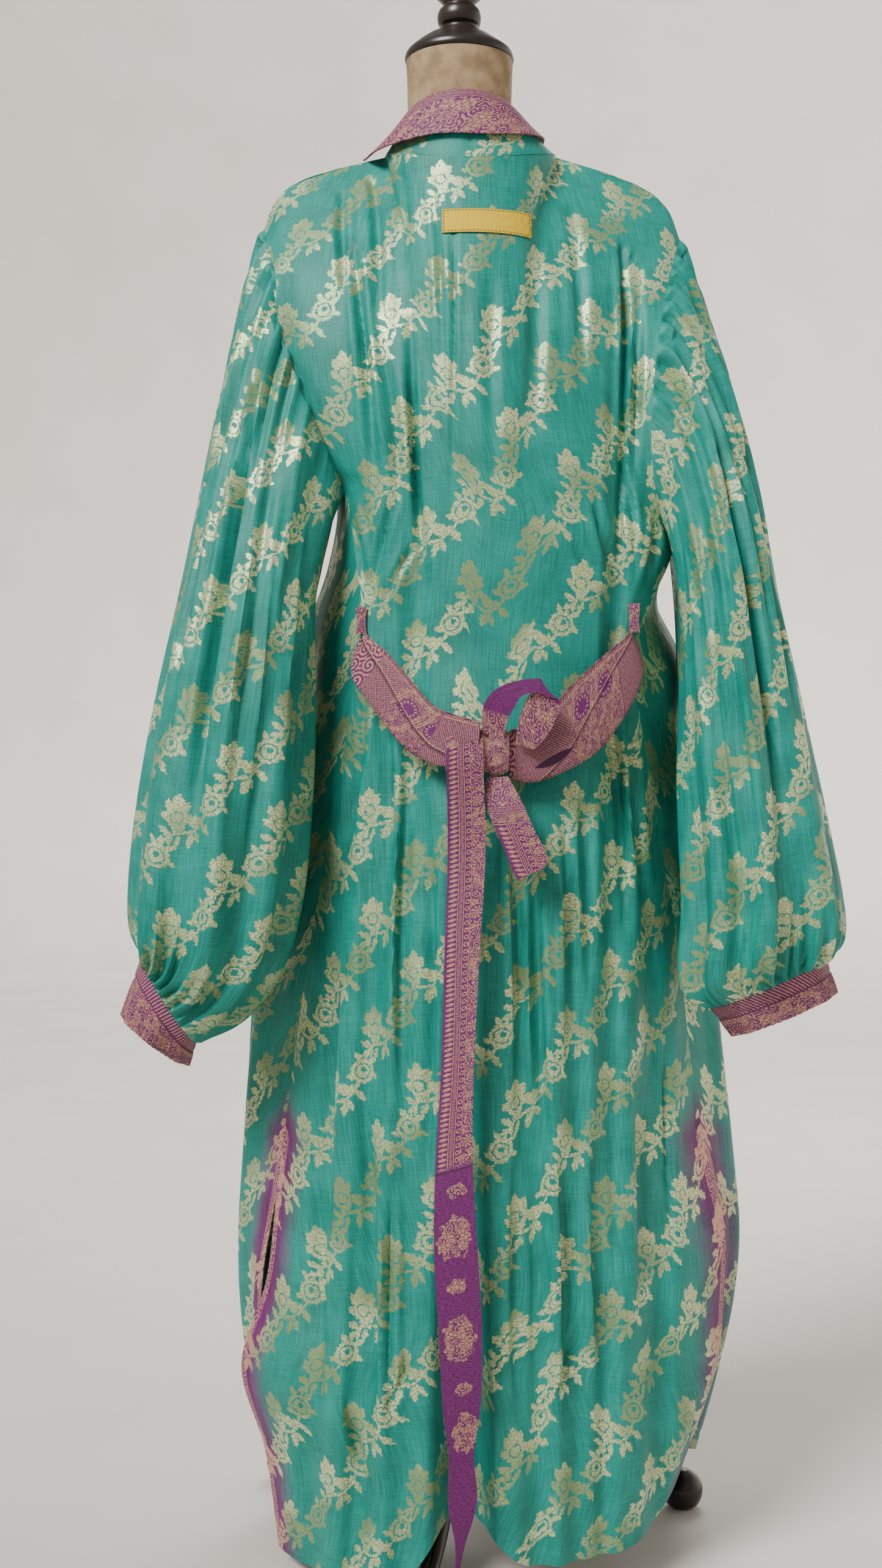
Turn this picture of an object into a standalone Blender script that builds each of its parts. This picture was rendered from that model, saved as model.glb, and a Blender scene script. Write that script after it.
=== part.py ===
"""Brocade kimono robe hung on a limbless dress form with a turned wooden stand.

The robe is seen from behind along +Y: its back panel faces -Y and its left sleeve is at -X.
Lengths are in metres and +Z is up. The floor is z = 0 and the form's axis is the line x = y = 0
while the pieces are worked out; at the end all of them move together, so that the origin lies
under the middle of the whole object.
"""
import math

import bmesh
import bpy
import numpy as np

WALL = 0.0020
SEAM_GAP = 0.0003
SEAM_SHIFT = 0.00018

SHOULDER_COLUMNS = 14
NECK_COLUMNS = 14
ARMHOLE_ROWS = 8
BAND_COLUMNS = 2
STAND_ROWS = 2
SLEEVE_COLUMNS = 4 * ARMHOLE_ROWS
CUFF_ROWS = 2

# Share of the way from the underarm down to the hem for each row of the body panels
LOWER_ROWS = np.array([0.06, 0.13, 0.22, 0.33, 0.44, 0.55, 0.66, 0.75, 0.83, 0.91, 1.0])
SLIT_ROW = 7

# Armhole edges from shoulder tip to underarm: height, back x, back y, front x, front y
ARMHOLE_LEFT = np.array([
    [1.338, -0.2110, 0.000, -0.2110, 0.000],
    [1.290, -0.1960, -0.045, -0.2020, 0.045],
    [1.225, -0.1900, -0.077, -0.1900, 0.066],
    [1.155, -0.1660, -0.091, -0.1720, 0.060],
    [1.097, -0.1400, -0.088, -0.1530, 0.012],
    [1.058, -0.1250, -0.072, -0.1250, -0.072],
])
ARMHOLE_RIGHT = np.array([
    [1.328, 0.2140, 0.000, 0.2140, 0.000],
    [1.264, 0.1950, -0.048, 0.2050, 0.048],
    [1.205, 0.1840, -0.077, 0.1980, 0.068],
    [1.130, 0.1760, -0.090, 0.1930, 0.060],
    [1.060, 0.1800, -0.085, 0.1930, 0.015],
    [0.998, 0.1990, -0.057, 0.1990, -0.057],
])

# Side seams and slit edges: share of the drop, back x, back y, front x, front y
SIDE_LEFT = np.array([
    [0.000, -0.125, -0.072, -0.125, -0.072],
    [0.130, -0.107, -0.097, -0.107, -0.097],
    [0.235, -0.124, -0.082, -0.124, -0.082],
    [0.430, -0.160, -0.060, -0.160, -0.060],
    [0.660, -0.193, -0.050, -0.193, -0.050],
    [0.750, -0.204, -0.056, -0.210, -0.026],
    [0.830, -0.228, -0.062, -0.214, -0.012],
    [0.910, -0.204, -0.066, -0.208, -0.004],
    [1.000, -0.190, -0.070, -0.196, 0.004],
])
SIDE_RIGHT = np.array([
    [0.000, 0.199, -0.057, 0.199, -0.057],
    [0.120, 0.159, -0.092, 0.159, -0.092],
    [0.235, 0.174, -0.074, 0.174, -0.074],
    [0.430, 0.205, -0.052, 0.205, -0.052],
    [0.660, 0.233, -0.044, 0.233, -0.044],
    [0.750, 0.252, -0.052, 0.252, -0.020],
    [0.830, 0.251, -0.060, 0.250, -0.006],
    [0.910, 0.242, -0.068, 0.236, 0.000],
    [1.000, 0.212, -0.076, 0.214, 0.006],
])

# Front panels' plan curve: share of the drop, side handle x, y, front handle x, y, edge x, y
FRONT_LEFT = np.array([
    [0.000, -0.143, -0.030, -0.148, 0.120, -0.070, 0.122],
    [0.060, -0.150, -0.036, -0.180, 0.128, -0.068, 0.124],
    [0.130, -0.168, -0.030, -0.222, 0.132, -0.066, 0.126],
    [0.235, -0.190, -0.010, -0.206, 0.156, -0.066, 0.132],
    [0.430, -0.238, 0.005, -0.225, 0.170, -0.070, 0.142],
    [0.660, -0.258, 0.020, -0.236, 0.180, -0.076, 0.154],
    [0.830, -0.248, 0.035, -0.230, 0.190, -0.078, 0.162],
    [1.000, -0.200, 0.050, -0.205, 0.200, -0.080, 0.170],
])
FRONT_RIGHT = np.array([
    [0.000, 0.190, -0.020, 0.183, 0.125, 0.078, 0.122],
    [0.050, 0.194, -0.024, 0.208, 0.132, 0.076, 0.124],
    [0.120, 0.215, -0.020, 0.285, 0.126, 0.072, 0.126],
    [0.235, 0.233, -0.010, 0.266, 0.148, 0.072, 0.132],
    [0.430, 0.272, 0.005, 0.245, 0.170, 0.076, 0.142],
    [0.660, 0.294, 0.020, 0.262, 0.180, 0.082, 0.154],
    [0.830, 0.286, 0.035, 0.262, 0.190, 0.084, 0.162],
    [1.000, 0.238, 0.050, 0.240, 0.200, 0.086, 0.170],
])

# Middle of the back panel: share of the drop, y
BACK_MIDDLE = np.array([
    [0.000, -0.120], [0.139, -0.124], [0.250, -0.142], [0.457, -0.160],
    [0.687, -0.172], [1.000, -0.184],
])

# Shoulder seam: share from tip to neck, rise above the straight line
SHOULDER_RISE = np.array([
    [0.00, 0.000], [0.07, 0.019], [0.15, 0.026], [0.30, 0.027], [0.55, 0.020], [0.80, 0.009],
    [1.00, 0.000],
])

# Neck opening: front edges below the neck point, share of the armhole rows, x from centre, y, z
NECK_POINT = (0.088, 0.002, 1.412)
NECK_BACK = (-0.072, 1.390)
TOP_FADE = np.array([2.0, 2.4, 1.2])
RELAX_ROUNDS = 14
FRONT_EDGE = np.array([
    [0.00, 0.088, 0.002, 1.412],
    [0.15, 0.086, 0.050, 1.385],
    [0.35, 0.082, 0.088, 1.325],
    [0.65, 0.076, 0.114, 1.210],
    [1.00, 0.070, 0.122, 1.045],
])

# Hem heights of the back panel: side corners, left part, under the pleat, right part
HEM_CORNER_LEFT = 0.016
HEM_CORNER_RIGHT = 0.112
HEM_LEFT = 0.010
HEM_PLEAT = 0.078
HEM_RIGHT = 0.039
HEM_FRONT = 0.062
# Powers of the hem's corner curves; a higher power makes a tighter corner
BACK_CORNER_POWER = 7
FRONT_CORNER_POWER = 6
# Power of the back panel's plan curve from its middle to its side seams
BACK_ROUNDNESS = 2.6
# How much the back's columns crowd towards its middle: 0 is even
COLUMN_CROWDING = 0.40

# Soft folds of the back panel: x at the top, x at the hem, half width, depth, top z, full z
BACK_FOLDS = np.array([
    [-0.050, -0.066, 0.020, 0.008, 1.27, 1.00],
    [0.148, 0.120, 0.018, 0.012, 1.30, 1.05],
    [-0.130, -0.158, 0.022, 0.010, 1.24, 0.70],
    [-0.085, -0.112, 0.020, 0.014, 0.92, 0.55],
    [0.048, 0.062, 0.022, 0.010, 0.90, 0.45],
    [0.098, 0.098, 0.018, 0.012, 0.80, 0.40],
    [0.176, 0.180, 0.020, 0.014, 0.88, 0.50],
    [-0.020, -0.036, 0.012, 0.006, 0.62, 0.40],
])
# Columns from a side seam over which the back's folds fade in
FOLD_MARGIN = 4.0
# Raised part of the hem under the pleat, in half widths of the back panel from its middle
PLEAT_HEM = dict(at=-0.11, half_width=0.34)
# Centre back pleat: x, half width at its top and at the hem, depth at the hem, height where it
# starts, share of the way down at which it is full
PLEAT = dict(x=-0.008, top_width=0.0187, half_width=0.034, depth=0.058, start=0.72, full=0.87)

# Folds of the front panels: share across the panel, half width, depth, top z, full z
FRONT_FOLDS = np.array([
    [0.22, 0.10, 0.011, 0.95, 0.55],
    [0.45, 0.10, 0.013, 1.05, 0.60],
    [0.68, 0.09, 0.009, 1.10, 0.70],
    [0.86, 0.07, 0.007, 0.90, 0.50],
])

# Sleeve sections from head to cuff: outer x, y, z, inner x, y, z, half depth, armhole share
SLEEVE_LEFT = np.array([
    [-0.2266, 0.000, 1.301, -0.1310, -0.072, 1.036, 0.066, 0.62],
    [-0.2403, -0.004, 1.241, -0.1390, -0.076, 1.011, 0.072, 0.28],
    [-0.2537, -0.014, 1.161, -0.1475, -0.078, 0.980, 0.076, 0.06],
    [-0.2703, -0.028, 1.070, -0.1540, -0.082, 0.939, 0.079, 0.0],
    [-0.2890, -0.044, 0.966, -0.1565, -0.086, 0.881, 0.081, 0.0],
    [-0.3100, -0.060, 0.853, -0.1590, -0.092, 0.808, 0.082, 0.0],
    [-0.3250, -0.075, 0.746, -0.1638, -0.097, 0.732, 0.082, 0.0],
    [-0.3290, -0.086, 0.674, -0.1721, -0.101, 0.660, 0.080, 0.0],
    [-0.3270, -0.094, 0.634, -0.1890, -0.104, 0.599, 0.071, 0.0],
    [-0.3235, -0.099, 0.612, -0.2221, -0.106, 0.548, 0.054, 0.0],
    [-0.3205, -0.102, 0.603, -0.2675, -0.107, 0.519, 0.034, 0.0],
])
SLEEVE_RIGHT = np.array([
    [0.2330, 0.002, 1.288, 0.2060, -0.055, 0.976, 0.068, 0.62],
    [0.2510, 0.000, 1.227, 0.2058, -0.057, 0.952, 0.074, 0.28],
    [0.2700, -0.006, 1.162, 0.2056, -0.060, 0.922, 0.078, 0.06],
    [0.2910, -0.018, 1.071, 0.2056, -0.065, 0.884, 0.081, 0.0],
    [0.3088, -0.033, 0.957, 0.2060, -0.071, 0.837, 0.082, 0.0],
    [0.3307, -0.049, 0.838, 0.2075, -0.078, 0.775, 0.082, 0.0],
    [0.3490, -0.063, 0.736, 0.2115, -0.084, 0.708, 0.081, 0.0],
    [0.3590, -0.074, 0.664, 0.2140, -0.089, 0.646, 0.077, 0.0],
    [0.3600, -0.082, 0.628, 0.2095, -0.093, 0.593, 0.066, 0.0],
    [0.3560, -0.088, 0.609, 0.2130, -0.096, 0.566, 0.050, 0.0],
    [0.3460, -0.092, 0.600, 0.2322, -0.098, 0.552, 0.034, 0.0],
])
# Share of the full gather depth at each section, for the sleeve head and for the cuff end
HEAD_GATHER = np.array([0.4, 1.0, 0.7, 0.35, 0.1, 0.0, 0.0, 0.0, 0.0, 0.0, 0.0])
CUFF_GATHER = np.array([0.0, 0.0, 0.05, 0.18, 0.35, 0.55, 0.75, 0.95, 1.0, 0.75, 0.0])
HEAD_WAVES = 9
CUFF_WAVES = 8
HEAD_DEPTH = 0.0055
CUFF_DEPTH = 0.0100
# How far the gathers' waves are moved from an even spacing, in radians of their wave
HEAD_UNEVEN = 0.6
CUFF_UNEVEN = 0.9
# Free edge of each cuff: outer x, y, z, inner x, y, z, half depth
CUFF_END = dict(
    left=np.array([-0.3400, -0.1000, 0.5450, -0.2790, -0.0790, 0.4940, 0.0360]),
    right=np.array([0.3570, -0.0840, 0.5650, 0.2570, -0.0880, 0.5240, 0.0310]),
)
CUFF_WALL = 0.0024
# Waves along a cuff's free edge, as a share of its ring
CUFF_WAVE = 0.036

# Collar: oval of the stand's top edge
STAND_TOP = dict(
    x=-0.008, half_width=0.0605, y_side=-0.002, y_back=-0.0600, z_side=1.436, z_back=1.4560)
# Front bands: width, depth of the free edge in front of the sewn one, drop over which the band
# turns from standing to lying, how far its free edge bows forwards there
BAND_WIDTH = 0.052
BAND_LIFT = 0.006
BAND_TURN = 0.11
BAND_BOW = 0.012
FALL_WALL = 0.0016

# Rows of the collar's fall over the stand's top: share of the stand's height, height above it,
# distance out from the stand
FALL_TOP = [
    (0.82, 0.0000, -0.0054),
    (1.00, 0.0010, -0.0050),
    (1.00, 0.0040, -0.0012),
    (1.00, 0.0012, 0.0036),
]
# Lower edge of the fall: share from left to right, height share of its lower edge,
# distance out from the stand there
FALL_EDGE = np.array([
    [0.00, -0.50, 0.0160],
    [0.12, -0.05, 0.0125],
    [0.30, 0.27, 0.0075],
    [0.60, 0.32, 0.0060],
    [0.85, 0.36, 0.0055],
    [1.00, 0.42, 0.0045],
])

# Belt stretches from the side tab to the knot: upper x, z, lower x, z, y, half opening
BELT_LEFT = np.array([
    [-0.1035, 0.9150, -0.1130, 0.9000, -0.1050, 0.0022],
    [-0.0960, 0.9060, -0.1145, 0.8740, -0.1195, 0.0040],
    [-0.0800, 0.8906, -0.0970, 0.8480, -0.1380, 0.0060],
    [-0.0513, 0.8560, -0.0700, 0.8120, -0.1520, 0.0070],
    [-0.0360, 0.8400, -0.0470, 0.7950, -0.1600, 0.0055],
    [-0.0262, 0.8340, -0.0262, 0.7880, -0.1660, 0.0035],
])
BELT_RIGHT = np.array([
    [0.0345, 0.8180, 0.0345, 0.7770, -0.1660, 0.0035],
    [0.0560, 0.8230, 0.0580, 0.7730, -0.1600, 0.0070],
    [0.0760, 0.8400, 0.0942, 0.7870, -0.1560, 0.0095],
    [0.1000, 0.8650, 0.1220, 0.8060, -0.1440, 0.0090],
    [0.1290, 0.8920, 0.1500, 0.8440, -0.1280, 0.0060],
    [0.1500, 0.9100, 0.1640, 0.8780, -0.1150, 0.0040],
    [0.1540, 0.9170, 0.1620, 0.9020, -0.1010, 0.0022],
])
BELT_WALL = 0.0016
BELT_ROWS = 11
# Folded belt in section: share from upper to lower edge, share of the half opening
BELT_PROFILE = [
    (0.00, -1.00), (0.50, -0.95), (0.94, -0.45), (1.00, 0.00), (0.94, 0.45), (0.50, 0.95),
    (-0.06, 1.00),
]

KNOT_CENTRE = (0.004, -0.1700, 0.800)
KNOT_HALF = (0.0298, 0.0140, 0.0230)
KNOT_COLUMNS = 16
KNOT_SQUARENESS = 0.7
# Knot from left to right: share of its half length, size of its section
KNOT_PROFILE = [
    (-1.00, 0.80), (-0.70, 0.98), (-0.15, 0.92), (0.30, 1.00), (0.75, 0.95), (1.00, 0.78),
]

# Long tail: z, left x, right x, y
TAIL_LONG = np.array([
    [0.7771, -0.0240, 0.0100, -0.1750],
    [0.7200, -0.0238, 0.0115, -0.1850],
    [0.6220, -0.0265, 0.0063, -0.1930],
    [0.5000, -0.0300, 0.0000, -0.1990],
    [0.4200, -0.0350, -0.0010, -0.2030],
    [0.3360, -0.0362, 0.0040, -0.2070],
    [0.2650, -0.0320, 0.0078, -0.2100],
    [0.1950, -0.0278, 0.0057, -0.2120],
    [0.1526, -0.0229, 0.0000, -0.2130],
    [0.1130, -0.0235, 0.0029, -0.2135],
    [0.0680, -0.0165, -0.0097, -0.2140],
    [0.0380, -0.0190, -0.0160, -0.2140],
])
# Short tail: left x, z, right x, z, y
TAIL_SHORT = np.array([
    [0.0125, 0.7768, 0.0330, 0.7768, -0.1760],
    [0.0125, 0.7500, 0.0470, 0.7500, -0.1840],
    [0.0230, 0.7230, 0.0560, 0.7290, -0.1860],
    [0.0375, 0.6880, 0.0680, 0.7050, -0.1860],
    [0.0420, 0.6800, 0.0670, 0.6930, -0.1855],
])
# Bow loop, up from the knot, round and back: x, y, z, half width, width direction x, z
BOW_LOOP = np.array([
    [0.0205, -0.1750, 0.8236, 0.0105, 0.93, -0.37],
    [0.0235, -0.1815, 0.8400, 0.0100, 0.95, -0.31],
    [0.0330, -0.1865, 0.8540, 0.0090, 0.70, -0.71],
    [0.0500, -0.1885, 0.8590, 0.0085, 0.30, -0.95],
    [0.0680, -0.1870, 0.8585, 0.0110, 0.30, -0.95],
    [0.0785, -0.1810, 0.8540, 0.0115, 0.45, -0.89],
    [0.0735, -0.1755, 0.8420, 0.0110, 0.70, -0.71],
    [0.0625, -0.1745, 0.8290, 0.0105, 0.80, -0.60],
    [0.0510, -0.1745, 0.8180, 0.0090, 0.80, -0.60],
])
LOOP_ROWS = 17
TAIL_ROWS = 18
SHORT_ROWS = 7
# Long tail's twist: how far its edges swing, and how fast down its length
TAIL_TWIST = 0.004
TWIST_RATE = 9.0
# How far the short tail's left edge lies behind its right one
SHORT_TURN = 0.003

# Side tabs that hold the belt ends: centre x, y, top z, bottom z, width
TAB_LEFT = (-0.1075, -0.1005, 0.9420, 0.9158, 0.0110)
TAB_RIGHT = (0.1580, -0.0975, 0.9460, 0.9178, 0.0120)
# Width of a tab down its length, as a share of its full width
TAB_PINCH = np.array([1.0, 0.85, 0.80, 0.95])

LABEL_BOX = (-0.0291, 0.0594, 1.3070, 1.3326)
LABEL_LIFT = 0.0012
LABEL_THICK = 0.0010
LABEL_GRID = (9, 4)

# Dress form's torso and neck: height, half width, half depth
FORM_RINGS = np.array([
    [0.790, 0.122, 0.096],
    [0.800, 0.130, 0.103],
    [0.860, 0.131, 0.104],
    [0.950, 0.115, 0.092],
    [1.040, 0.106, 0.082],
    [1.130, 0.120, 0.090],
    [1.210, 0.144, 0.092],
    [1.270, 0.162, 0.076],
    [1.310, 0.172, 0.058],
    [1.338, 0.172, 0.043],
    [1.358, 0.163, 0.031],
    [1.374, 0.145, 0.023],
    [1.386, 0.112, 0.017],
    [1.394, 0.082, 0.018],
    [1.403, 0.066, 0.034],
    [1.414, 0.0560, 0.0460],
    [1.430, 0.0525, 0.0520],
    [1.465, 0.0530, 0.0530],
    [1.508, 0.0545, 0.0545],
])
FORM_COLUMNS = 24
# The form's axis, from the middle of the robe's neckline
FORM_AXIS_X = -0.011

# Turned parts, a row for each ring: height, radius
NECK_CAP = np.array([
    [1.5083, 0.0520], [1.5090, 0.0555], [1.5130, 0.0560], [1.5180, 0.0535], [1.5270, 0.0430],
    [1.5330, 0.0345],
])
FINIAL = np.array([
    [1.5333, 0.0330], [1.5340, 0.0240], [1.5430, 0.0180], [1.5470, 0.0215], [1.5540, 0.0228],
    [1.5610, 0.0210], [1.5650, 0.0165], [1.5700, 0.0185], [1.5780, 0.0260], [1.5900, 0.0300],
    [1.6020, 0.0280], [1.6130, 0.0210], [1.6180, 0.0120], [1.6240, 0.0130], [1.6300, 0.0080],
])
POLE = np.array([
    [0.1703, 0.0200], [0.1900, 0.0230], [0.2100, 0.0150], [0.4200, 0.0170], [0.6000, 0.0150],
    [0.7400, 0.0180], [0.7600, 0.0280], [0.7897, 0.0300],
])
HUB = np.array([
    [0.0680, 0.0200], [0.0780, 0.0380], [0.1000, 0.0450], [0.1250, 0.0450], [0.1450, 0.0370],
    [0.1600, 0.0260], [0.1700, 0.0240],
])
TURN_COLUMNS = 20
CAP_COLUMNS = 24
POLE_COLUMNS = 14
WOOD_SMOOTH = 40.0
LEG_ANGLES = (19.0, 139.0, 259.0)
# Legs from hub to foot: radius from the axis, height, half width, half height
LEG_PATH = np.array([
    [0.0453, 0.108, 0.0120, 0.0150],
    [0.0750, 0.088, 0.0115, 0.0130],
    [0.1100, 0.052, 0.0105, 0.0110],
    [0.1500, 0.033, 0.0100, 0.0095],
    [0.1950, 0.0265, 0.0100, 0.0090],
    [0.2450, 0.0240, 0.0100, 0.0110],
])
LEG_COLUMNS = 10
# Feet: distance from the axis, and rings of height and radius; the first is the flat underside
FOOT_CENTRE = 0.2520
FOOT_PROFILE = np.array([
    [0.0000, 0.0110], [0.0048, 0.0172], [0.0140, 0.0210], [0.0240, 0.0210], [0.0340, 0.0150],
    [0.0400, 0.0060],
])
FOOT_COLUMNS = 16

GREEN = (0.045, 0.330, 0.250)
PLUM = (0.230, 0.040, 0.150)
LINEN = (0.380, 0.270, 0.150)
DARK_WOOD = (0.018, 0.012, 0.010)
YELLOW = (0.640, 0.400, 0.030)


def clear_scene():
    for item in list(bpy.context.scene.objects):
        bpy.data.objects.remove(item, do_unlink=True)


def material(name, colour, roughness):
    made = bpy.data.materials.new(name)
    made.use_nodes = True
    shader = made.node_tree.nodes["Principled BSDF"]
    shader.inputs["Base Color"].default_value = (*colour, 1.0)
    shader.inputs["Roughness"].default_value = roughness
    shader.inputs["Metallic"].default_value = 0.0
    return made


def add_mesh(name, points, faces, finish, smooth_angle=50.0):
    """Make a named object from points and faces and turn its faces outwards."""
    mesh = bpy.data.meshes.new(name)
    mesh.from_pydata([tuple(p) for p in points], [], faces)
    work = bmesh.new()
    work.from_mesh(mesh)
    bmesh.ops.recalc_face_normals(work, faces=work.faces)
    work.to_mesh(mesh)
    work.free()
    mesh.shade_smooth()
    mesh.set_sharp_from_angle(angle=math.radians(smooth_angle))
    mesh.materials.append(finish)
    made = bpy.data.objects.new(name, mesh)
    bpy.context.scene.collection.objects.link(made)
    return made


def spline(table, at):
    """Smooth curve through a table: the first column is the parameter, the rest are values."""
    keys = table[:, 0]
    values = table[:, 1:]
    slopes = np.gradient(values, keys, axis=0)
    at = np.clip(np.asarray(at, dtype=float), keys[0], keys[-1])
    low = np.clip(np.searchsorted(keys, at, side="right") - 1, 0, len(keys) - 2)
    step = (keys[low + 1] - keys[low])[..., None]
    t = (at - keys[low])[..., None] / step
    near = (2 * t ** 3 - 3 * t ** 2 + 1) * values[low] + (3 * t ** 2 - 2 * t ** 3) * values[low + 1]
    bend = (t ** 3 - 2 * t ** 2 + t) * slopes[low] + (t ** 3 - t ** 2) * slopes[low + 1]
    return near + bend * step


def unit(vectors):
    length = np.linalg.norm(vectors, axis=-1, keepdims=True)
    return vectors / np.maximum(length, 1e-12)


def bump(t):
    """Soft hill: one at the middle, falling to zero with level ends at t = -1 and 1."""
    return np.clip(1.0 - t ** 2, 0.0, 1.0) ** 2


def ramp(t):
    t = np.clip(t, 0.0, 1.0)
    return t * t * (3.0 - 2.0 * t)


class Panel:
    """One layer of cloth: a grid of outer points, its normals and its small seam shifts."""

    def __init__(self, points, ring=False, flip=False):
        self.points = points
        self.ring = ring
        if ring:
            across = np.roll(points, -1, axis=1) - np.roll(points, 1, axis=1)
        else:
            across = np.gradient(points, axis=1)
        along = np.gradient(points, axis=0)
        normal = unit(np.cross(along, across))
        self.normals = -normal if flip else normal
        self.shift = np.zeros_like(points)

    def outer(self):
        return self.points + self.shift

    def inner(self, wall):
        return self.points - self.normals * wall + self.shift


def grid_faces(rows, columns, ring, start, turned):
    """Quads of a grid of points, row after row."""
    wide = columns if ring else columns + 1
    faces = []
    for row in range(rows):
        for column in range(columns):
            right = (column + 1) % wide
            corners = [start + row * wide + column, start + row * wide + right,
                       start + (row + 1) * wide + right, start + (row + 1) * wide + column]
            faces.append(corners[::-1] if turned else corners)
    return faces


def cloth(name, outer, inner, finish, ring=False):
    """Close an outer and an inner grid into one wall, with a rim round every open edge."""
    rows = outer.shape[0] - 1
    wide = outer.shape[1]
    columns = wide if ring else wide - 1
    half = outer.shape[0] * wide
    faces = grid_faces(rows, columns, ring, 0, False)
    faces += grid_faces(rows, columns, ring, half, True)
    rims = [[row * wide + column for column in range(wide)] for row in (0, rows)]
    if ring:
        rims = [rim + rim[:1] for rim in rims]
    else:
        rims += [[row * wide + column for row in range(rows + 1)] for column in (0, wide - 1)]
    for rim in rims:
        for a, b in zip(rim, rim[1:]):
            faces.append([a, b, b + half, a + half])
    points = np.concatenate([outer.reshape(-1, 3), inner.reshape(-1, 3)])
    return add_mesh(name, points, faces, finish)


def join_seam(first, first_at, first_in, second, second_at):
    """Part two panels that meet along one line: each moves half the gap from the mitre plane."""
    line = first.points[first_at]
    along = np.gradient(line, axis=0)
    across = unit(np.cross(along, first.normals[first_at]))
    side = np.sum(across * (first.points[first_in] - line), axis=1, keepdims=True)
    across = np.where(side < 0.0, -across, across)
    first.shift[first_at] += across * SEAM_SHIFT
    second.shift[second_at] -= across * SEAM_SHIFT


def share_normals(pairs):
    """Give the points that panels share one normal, so that their inner edges meet as well."""
    for _ in range(4):
        for first, first_at, second, second_at in pairs:
            mean = unit(first.normals[first_at] + second.normals[second_at])
            first.normals[first_at] = mean
            second.normals[second_at] = mean


def armhole_edge(table, x_column, count):
    """Points down one edge of an armhole, evenly along its length."""
    shares = np.linspace(0.0, 1.0, len(table))
    keyed = np.column_stack([shares, table[:, x_column], table[:, x_column + 1], table[:, 0]])
    return spline(keyed, np.linspace(0.0, 1.0, count + 1))


def shoulder_line(tip, neck, count):
    """Shoulder seam from the tip to the neck, round at the tip."""
    t = np.linspace(0.0, 1.0, count + 1)[:, None]
    line = (1.0 - t) * np.asarray(tip) + t * np.asarray(neck)
    line[:, 2] += spline(SHOULDER_RISE, t[:, 0])[:, 0]
    return line


def neck_line(count):
    """Back neckline: half an oval from one neck point to the other, dipping at the middle."""
    angle = np.linspace(math.pi, 0.0, count + 1)
    x = NECK_POINT[0] * np.cos(angle)
    dip = np.sin(angle)
    y = NECK_POINT[1] + (NECK_BACK[0] - NECK_POINT[1]) * dip
    z = NECK_POINT[2] + (NECK_BACK[1] - NECK_POINT[2]) * dip ** 1.5
    return np.stack([x, y, z], axis=1)


def fill_between(top, bottom, left, right):
    """Surface between four edge curves: its sides are blended straight across, and the bends of
    the top edge die away quickly downwards in x and y, more slowly in height."""
    u = np.linspace(0.0, 1.0, len(top))[None, :, None]
    v = np.linspace(0.0, 1.0, len(left))[:, None, None]
    sides = (1 - u) * left[:, None] + u * right[:, None]
    top_bend = top[None] - (1 - u) * top[0] - u * top[-1]
    low_bend = bottom[None] - (1 - u) * bottom[0] - u * bottom[-1]
    fade = (1 - v) ** TOP_FADE
    return sides + fade * top_bend + (1 - fade) * low_bend


def body_height(edge_top, edge_low, drop):
    return edge_top + (edge_low - edge_top) * drop


def column_shares(count):
    """Columns across the back, closer together at the middle, where the pleat is."""
    t = np.linspace(-1.0, 1.0, count + 1)
    return 0.5 + 0.5 * ((1.0 - COLUMN_CROWDING) * t + COLUMN_CROWDING * t * np.abs(t))


def back_rows(drops):
    """Rows of the back panel below the underarm, without folds."""
    share = column_shares(2 * SHOULDER_COLUMNS + NECK_COLUMNS)
    s = 2.0 * share - 1.0
    low = np.where(s < 0.0, HEM_LEFT, HEM_RIGHT)
    pleat = bump((s - PLEAT_HEM["at"]) / PLEAT_HEM["half_width"])
    hem = low * (1.0 - pleat) + HEM_PLEAT * pleat
    corner = np.where(s < 0.0, HEM_CORNER_LEFT, HEM_CORNER_RIGHT)
    hem = hem + (corner - hem) * np.abs(s) ** BACK_CORNER_POWER
    top = (1.0 - share) * ARMHOLE_LEFT[-1, 0] + share * ARMHOLE_RIGHT[-1, 0]
    left = spline(SIDE_LEFT, drops)
    right = spline(SIDE_RIGHT, drops)
    middle = spline(BACK_MIDDLE, drops)[:, 0]
    x = left[:, :1] + (right[:, :1] - left[:, :1]) * share
    edge = left[:, 1:2] + (right[:, 1:2] - left[:, 1:2]) * share
    round_out = 1.0 - np.abs(s) ** BACK_ROUNDNESS
    y = edge + (middle[:, None] - edge) * round_out
    z = body_height(top, hem, drops[:, None])
    return np.stack([x, y, z], axis=2)


def back_folds(points):
    """Depth of the back panel's folds and its centre pleat at each point."""
    x = points[..., 0]
    z = points[..., 2]
    depth = np.zeros_like(x)
    for top_x, hem_x, half, deep, z_top, z_full in BACK_FOLDS:
        centre = hem_x + (top_x - hem_x) * np.clip(z / z_top, 0.0, 1.0)
        depth += deep * bump((x - centre) / half) * ramp((z_top - z) / (z_top - z_full))
    open_out = np.clip(1.0 - z / PLEAT["start"], 0.0, 1.0)
    half = PLEAT["top_width"] + (PLEAT["half_width"] - PLEAT["top_width"]) * open_out
    depth += PLEAT["depth"] * ramp(open_out / PLEAT["full"]) * bump((x - PLEAT["x"]) / half)
    return depth


def relax(points, rounds):
    """Even out the depth of the inner points of a grid, its edges kept."""
    for _ in range(rounds):
        y = points[..., 1]
        mean = 0.25 * (y[:-2, 1:-1] + y[2:, 1:-1] + y[1:-1, :-2] + y[1:-1, 2:])
        points[1:-1, 1:-1, 1] = mean


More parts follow.
